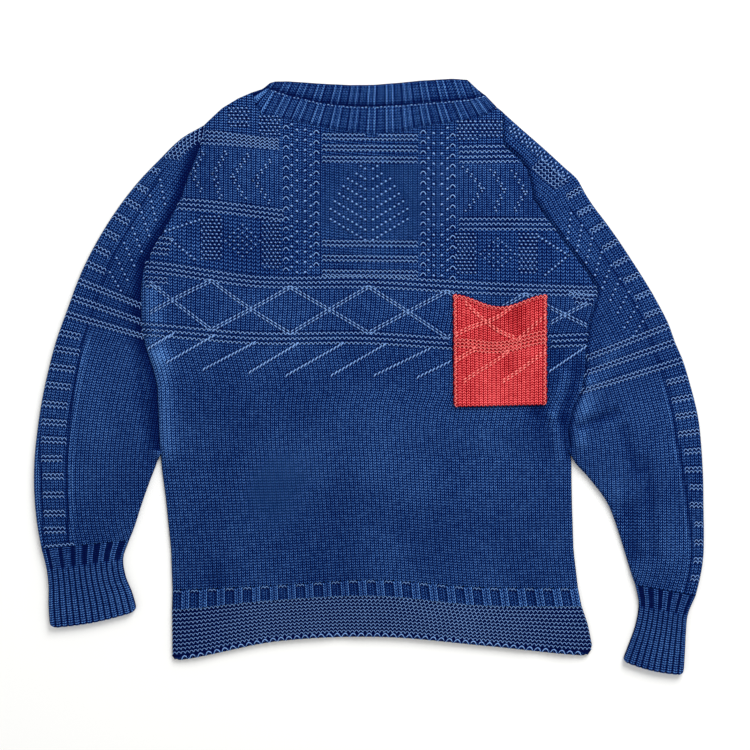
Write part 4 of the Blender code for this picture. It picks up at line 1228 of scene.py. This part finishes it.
# the cast-off edge: small loops lying along the front band's free edge
def castOff(name, edge, height):
    count = neckband["castOffLoops"]
    work = LoopWork()
    x, y = alongPath(edge, (np.arange(count) + 0.5) / count)
    turn = np.arctan2(np.gradient(y), np.gradient(x))
    for n in range(count):
        work.add("dot", x[n], y[n] - 0.7 - 0.5 * (n % 2), height, turn[n], 0.8, 0.5)
    makeLoopWork(name, work, indigoLoop)


makeNeckband("neckbandBack", neck[:, [0, 4]], neck[:, [5, 6]], 2.9, 0.9, 0.3, "neckband_back", [])
makeNeckband("neckbandFront", neck[:, :2], neck[:, 2:4], 7.0, neckband["rise"], 4.2, "neckband_front",
             ["neckband_back"])
castOff("castOffFront", neck[:, 2:4], 7.0)
print("neckband knitted")

# The back: flat on the surface, seen only from beneath and at its rims


def makeBack():
    backWales = 60      # a coarser grid does for a flat sheet

    def backTop(x):
        return lineY(shoulderLeft + [(row[0], row[4]) for row in neck] + shoulderRight, x)
    for label, node, low, high, step, flat, area in (
            ("backBody", "back", "cellsTop", "neckBarsFoot", 12.0, (0.55, 0.60), 0.285),
            ("hemBandBack", "hem_band_back", "cellsFoot", "cellsTop", 8.0, (0.495, 0.022), None),
            ("weltBack", "welt_back", "hem", "cellsFoot", 8.0, (0.50, 0.055), None)):
        x, y, wale, course, last, cut = bodyGrid(low, high, backWales, 1, 1, step)
        keep = None
        if label == "backBody":
            x, y, wale, course, keep = rowsToTop(x, y, wale, course, cut, last, step, backTop)
        else:
            y = hemCorners(x, y)
        if keep is not None:
            keep = np.pad(keep, ((0, 0), (3, 3)), mode="edge")      # for the quads of the rims
        wale, course = wale * garment["stitchesAcross"] / backWales, course * step / garment["rowHeight"]
        grids = sheetRim((x, y, 0.0 * x, np.full_like(x, plainRelief), wale, course),
                         ["left", "right"] + ["foot"] * (label == "weltBack"), 2.4, 0.9)
        finishPiece(gridMesh(label, *grids, keep, True), indigoKnit, [node])


makeBack()
print("back knitted")

# The pocket: a red knitted patch, sewn on at its sides and foot

pocket = {
    "width": 112.0, "height": 132.0,
    "topLeft": (101.4, 98.6), "topRight": (213.9, 98.2), "footLeft": (102.1, -36.4),
    "footRight": (213.9, -33.8), "mouthSag": 14.6, "gape": 2.6, "wales": 22, "rows": 43,
    "clear": 0.5, "thickness": 2.6, "sideLoops": 27, "mouthLoops": 22, "rimFoot": 7.3,
    # lines of purl loops: u, v at each end. The red cloth carries the same yoke pattern
    "runs": [
        ("dot", 0.14, 0.064, 0.64, 0.323), ("dot", 0.04, 0.355, 0.60, 0.03),
        ("dot", 0.707, 0.345, 0.975, 0.203), ("dot", 0.1225, 0.762, 0.575, 0.463),
        ("dot", 0.5375, 0.746, 0.975, 0.518), ("dot", 0.03, 0.589, 0.2175, 0.472),
        ("ridge", 0.05, 0.400, 0.53, 0.357), ("ridge", 0.57, 0.355, 0.96, 0.332),
        ("ridge", 0.05, 0.432, 0.53, 0.388), ("ridge", 0.57, 0.386, 0.96, 0.366),
        ("ridge", 0.05, 0.463, 0.53, 0.419), ("ridge", 0.57, 0.417, 0.96, 0.400),
        ("ridge", 0.24, 0.480, 0.53, 0.452), ("ridge", 0.57, 0.450, 0.96, 0.434),
    ],
    # soft folds: u, v at each end, width and height in millimetres
    "folds": [(0.66, 0.10, 0.72, 0.30, 11.0, -1.6), (0.56, 0.52, 0.60, 0.66, 9.0, -1.2),
              (0.30, 0.55, 0.36, 0.95, 16.0, 0.8), (0.84, 0.20, 0.88, 0.60, 12.0, 0.7)],
}


# x, y of a place that is u across the pocket and v down it
def pocketPoint(u, v):
    headX, headY, footX, footY = (mix(pocket[end + "Left"][k], pocket[end + "Right"][k], u)
                                  for end in ("top", "foot") for k in (0, 1))
    headY = headY - pocket["mouthSag"] * np.sin(math.pi * u)**2
    return mix(headX, footX, v), mix(headY, footY, v)


# height that the pocket's folds add
def pocketFolds(u, v):
    size = np.array([pocket["width"], pocket["height"]] * 2 + [1.0, 1.0])
    return creaseHeight(u * pocket["width"], v * pocket["height"], np.array(pocket["folds"]) * size)


def pocketHeight(u, v):
    x, y = pocketPoint(u, v)
    ground = upperHeight(x, y)
    gape = pocket["gape"] * np.sin(math.pi * u)**2 * (1.0 - softStep(v / 0.3))
    edge = np.minimum(np.minimum(u, 1.0 - u) * pocket["width"], np.minimum(v, 1.0 - v) * pocket["height"])
    rolled = 1.3 * bumpAt(edge, 2.6, 2.2)
    return ground + pocket["clear"] + pocket["thickness"] + gape + rolled + pocketFolds(u, v)


def makePocket():
    work = LoopWork()

    def onPocket(kind, u, v, turn, width=1.0, height=1.0, reach=2.6):
        x, y = pocketPoint(u, v)
        work.add(kind, x, y, float(pocketHeight(u, v)) + 0.15, turn, width, height, reach)

    for kind, u0, v0, u1, v1 in pocket["runs"]:
        count = int(abs(u1 - u0) * pocket["wales"]) + 1
        for n in range(count + 1):
            u, v = mix(u0, u1, n / count), mix(v0, v1, n / count)
            if kind == "ridge":
                onPocket(kind, u, v, 0.05, 1.0, 0.95)
            else:
                for offset in (-0.013, 0.013):
                    onPocket(kind, u, v + offset, 0.75 if v1 < v0 else -0.75, 1.25, 0.75, 2.2)
    # the rolled selvedge shows its loops along the sides and the mouth
    selvedgeLoop = (0.72, 0.75, 2.4)        # width and height, and its reach
    for n in range(pocket["sideLoops"]):
        for u, turn in ((0.02, math.pi / 2), (0.98, -math.pi / 2)):
            onPocket("caret", u, (n + 0.5) / pocket["sideLoops"], turn, *selvedgeLoop)
    for n in range(pocket["mouthLoops"]):
        onPocket("caret", (n + 0.5) / pocket["mouthLoops"], 0.014, 0.0, *selvedgeLoop)
    wale = np.arange(pocket["wales"] * 4 + 1) / 4
    course = np.arange(pocket["rows"] * 2 + 1) / 2
    wales, coursesOf = np.meshgrid(wale, course)
    v = np.clip((coursesOf + slant(wales) * 0.9) / pocket["rows"], 0.0, 1.0)
    u = wales / pocket["wales"]
    x, y = pocketPoint(u, v)
    near = work.near(x, y, 1.3)
    # painted light on the pocket's puffs, painted shade in its fold hollows and round each purl loop
    relief = mix(0.5 + 0.1 * pocketFolds(u, v), 0.05, near)
    z = pocketHeight(u, v) + stitchRise(wales, coursesOf, near, 0.6)
    # the selvedge waves a little with each loop, and the corners are soft
    edge = np.minimum(u, 1.0 - u) * pocket["width"]
    x = x + np.sign(u - 0.5) * 0.45 * np.sin(2.0 * math.pi * v * 13.0) * np.exp(-edge / 3.0)
    corner = np.clip(1.0 - edge / 7.0, 0.0, 1.0)**2 * np.clip((v - 0.93) * 15.0, 0.0, 1.0)
    y = y + 4.0 * corner
    grids = sheetRim((x, y, z, relief, wales, -coursesOf), ["left", "right", "foot", "head"],
                     pocket["rimFoot"], 0.6)
    piece = gridMesh("pocketPatch", *grids, None, True)
    finishPiece(piece, redKnit, ["pocket"])
    makeLoopWork("pocketLoops", work, redLoop)


makePocket()
makeLoopWork("frontLoops", frontWork, indigoLoop)
print("pocket knitted")

# Floor, light and camera

stageValues = {
    "floorHalf": 6.0, "frameWidth": 0.9, "lens": 85.0, "sensor": 36.0, "aim": (0.0075, 0.0021),
    "world": 0.62,
    # place, power and size of each light
    "lights": {"key": ((0.9, 1.7, 1.6), 64.0, 1.5), "fill": ((-1.4, -0.8, 1.8), 5.0, 1.6)},
}


def makeStage():
    mesh = bpy.data.meshes.new("paleFloor")
    half = stageValues["floorHalf"]
    mesh.from_pydata([(-half, -half, 0), (half, -half, 0), (half, half, 0), (-half, half, 0)], [],
                     [(0, 1, 2, 3)])
    floor = placeObject("paleFloor", mesh)
    floor.location.z = -0.0003
    material = bpy.data.materials.new("paleMattPaint")     # plain matt white paint
    material.use_nodes = True
    shader = material.node_tree.nodes["Principled BSDF"]
    shader.inputs["Base Color"].default_value = linear("#F6F6F4")
    shader.inputs["Roughness"].default_value = 0.9
    mesh.materials.append(material)
    world = bpy.data.worlds.new("softStudio")
    world.use_nodes = True
    background = world.node_tree.nodes["Background"].inputs
    background["Color"].default_value = (1.0, 1.0, 1.0, 1.0)
    background["Strength"].default_value = stageValues["world"]
    bpy.context.scene.world = world
    bpy.context.scene.view_settings.view_transform = "Standard"
    for label, (place, power, size) in stageValues["lights"].items():
        light = bpy.data.lights.new(label, "AREA")
        light.energy = power
        light.size = size
        lamp = placeObject(label, light)
        lamp.location = place
        # turned to face the garment's middle
        lamp.rotation_euler = (math.atan2(math.hypot(place[0], place[1]), place[2]), 0.0,
                               math.atan2(place[0], -place[1]))
    camera = bpy.data.cameras.new("camera")
    camera.lens = stageValues["lens"]
    camera.sensor_width = stageValues["sensor"]
    eye = placeObject("camera", camera)
    distance = stageValues["frameWidth"] * stageValues["lens"] / stageValues["sensor"]
    eye.location = (*stageValues["aim"], distance + 0.006)
    bpy.context.scene.camera = eye


makeStage()
print("stage set")
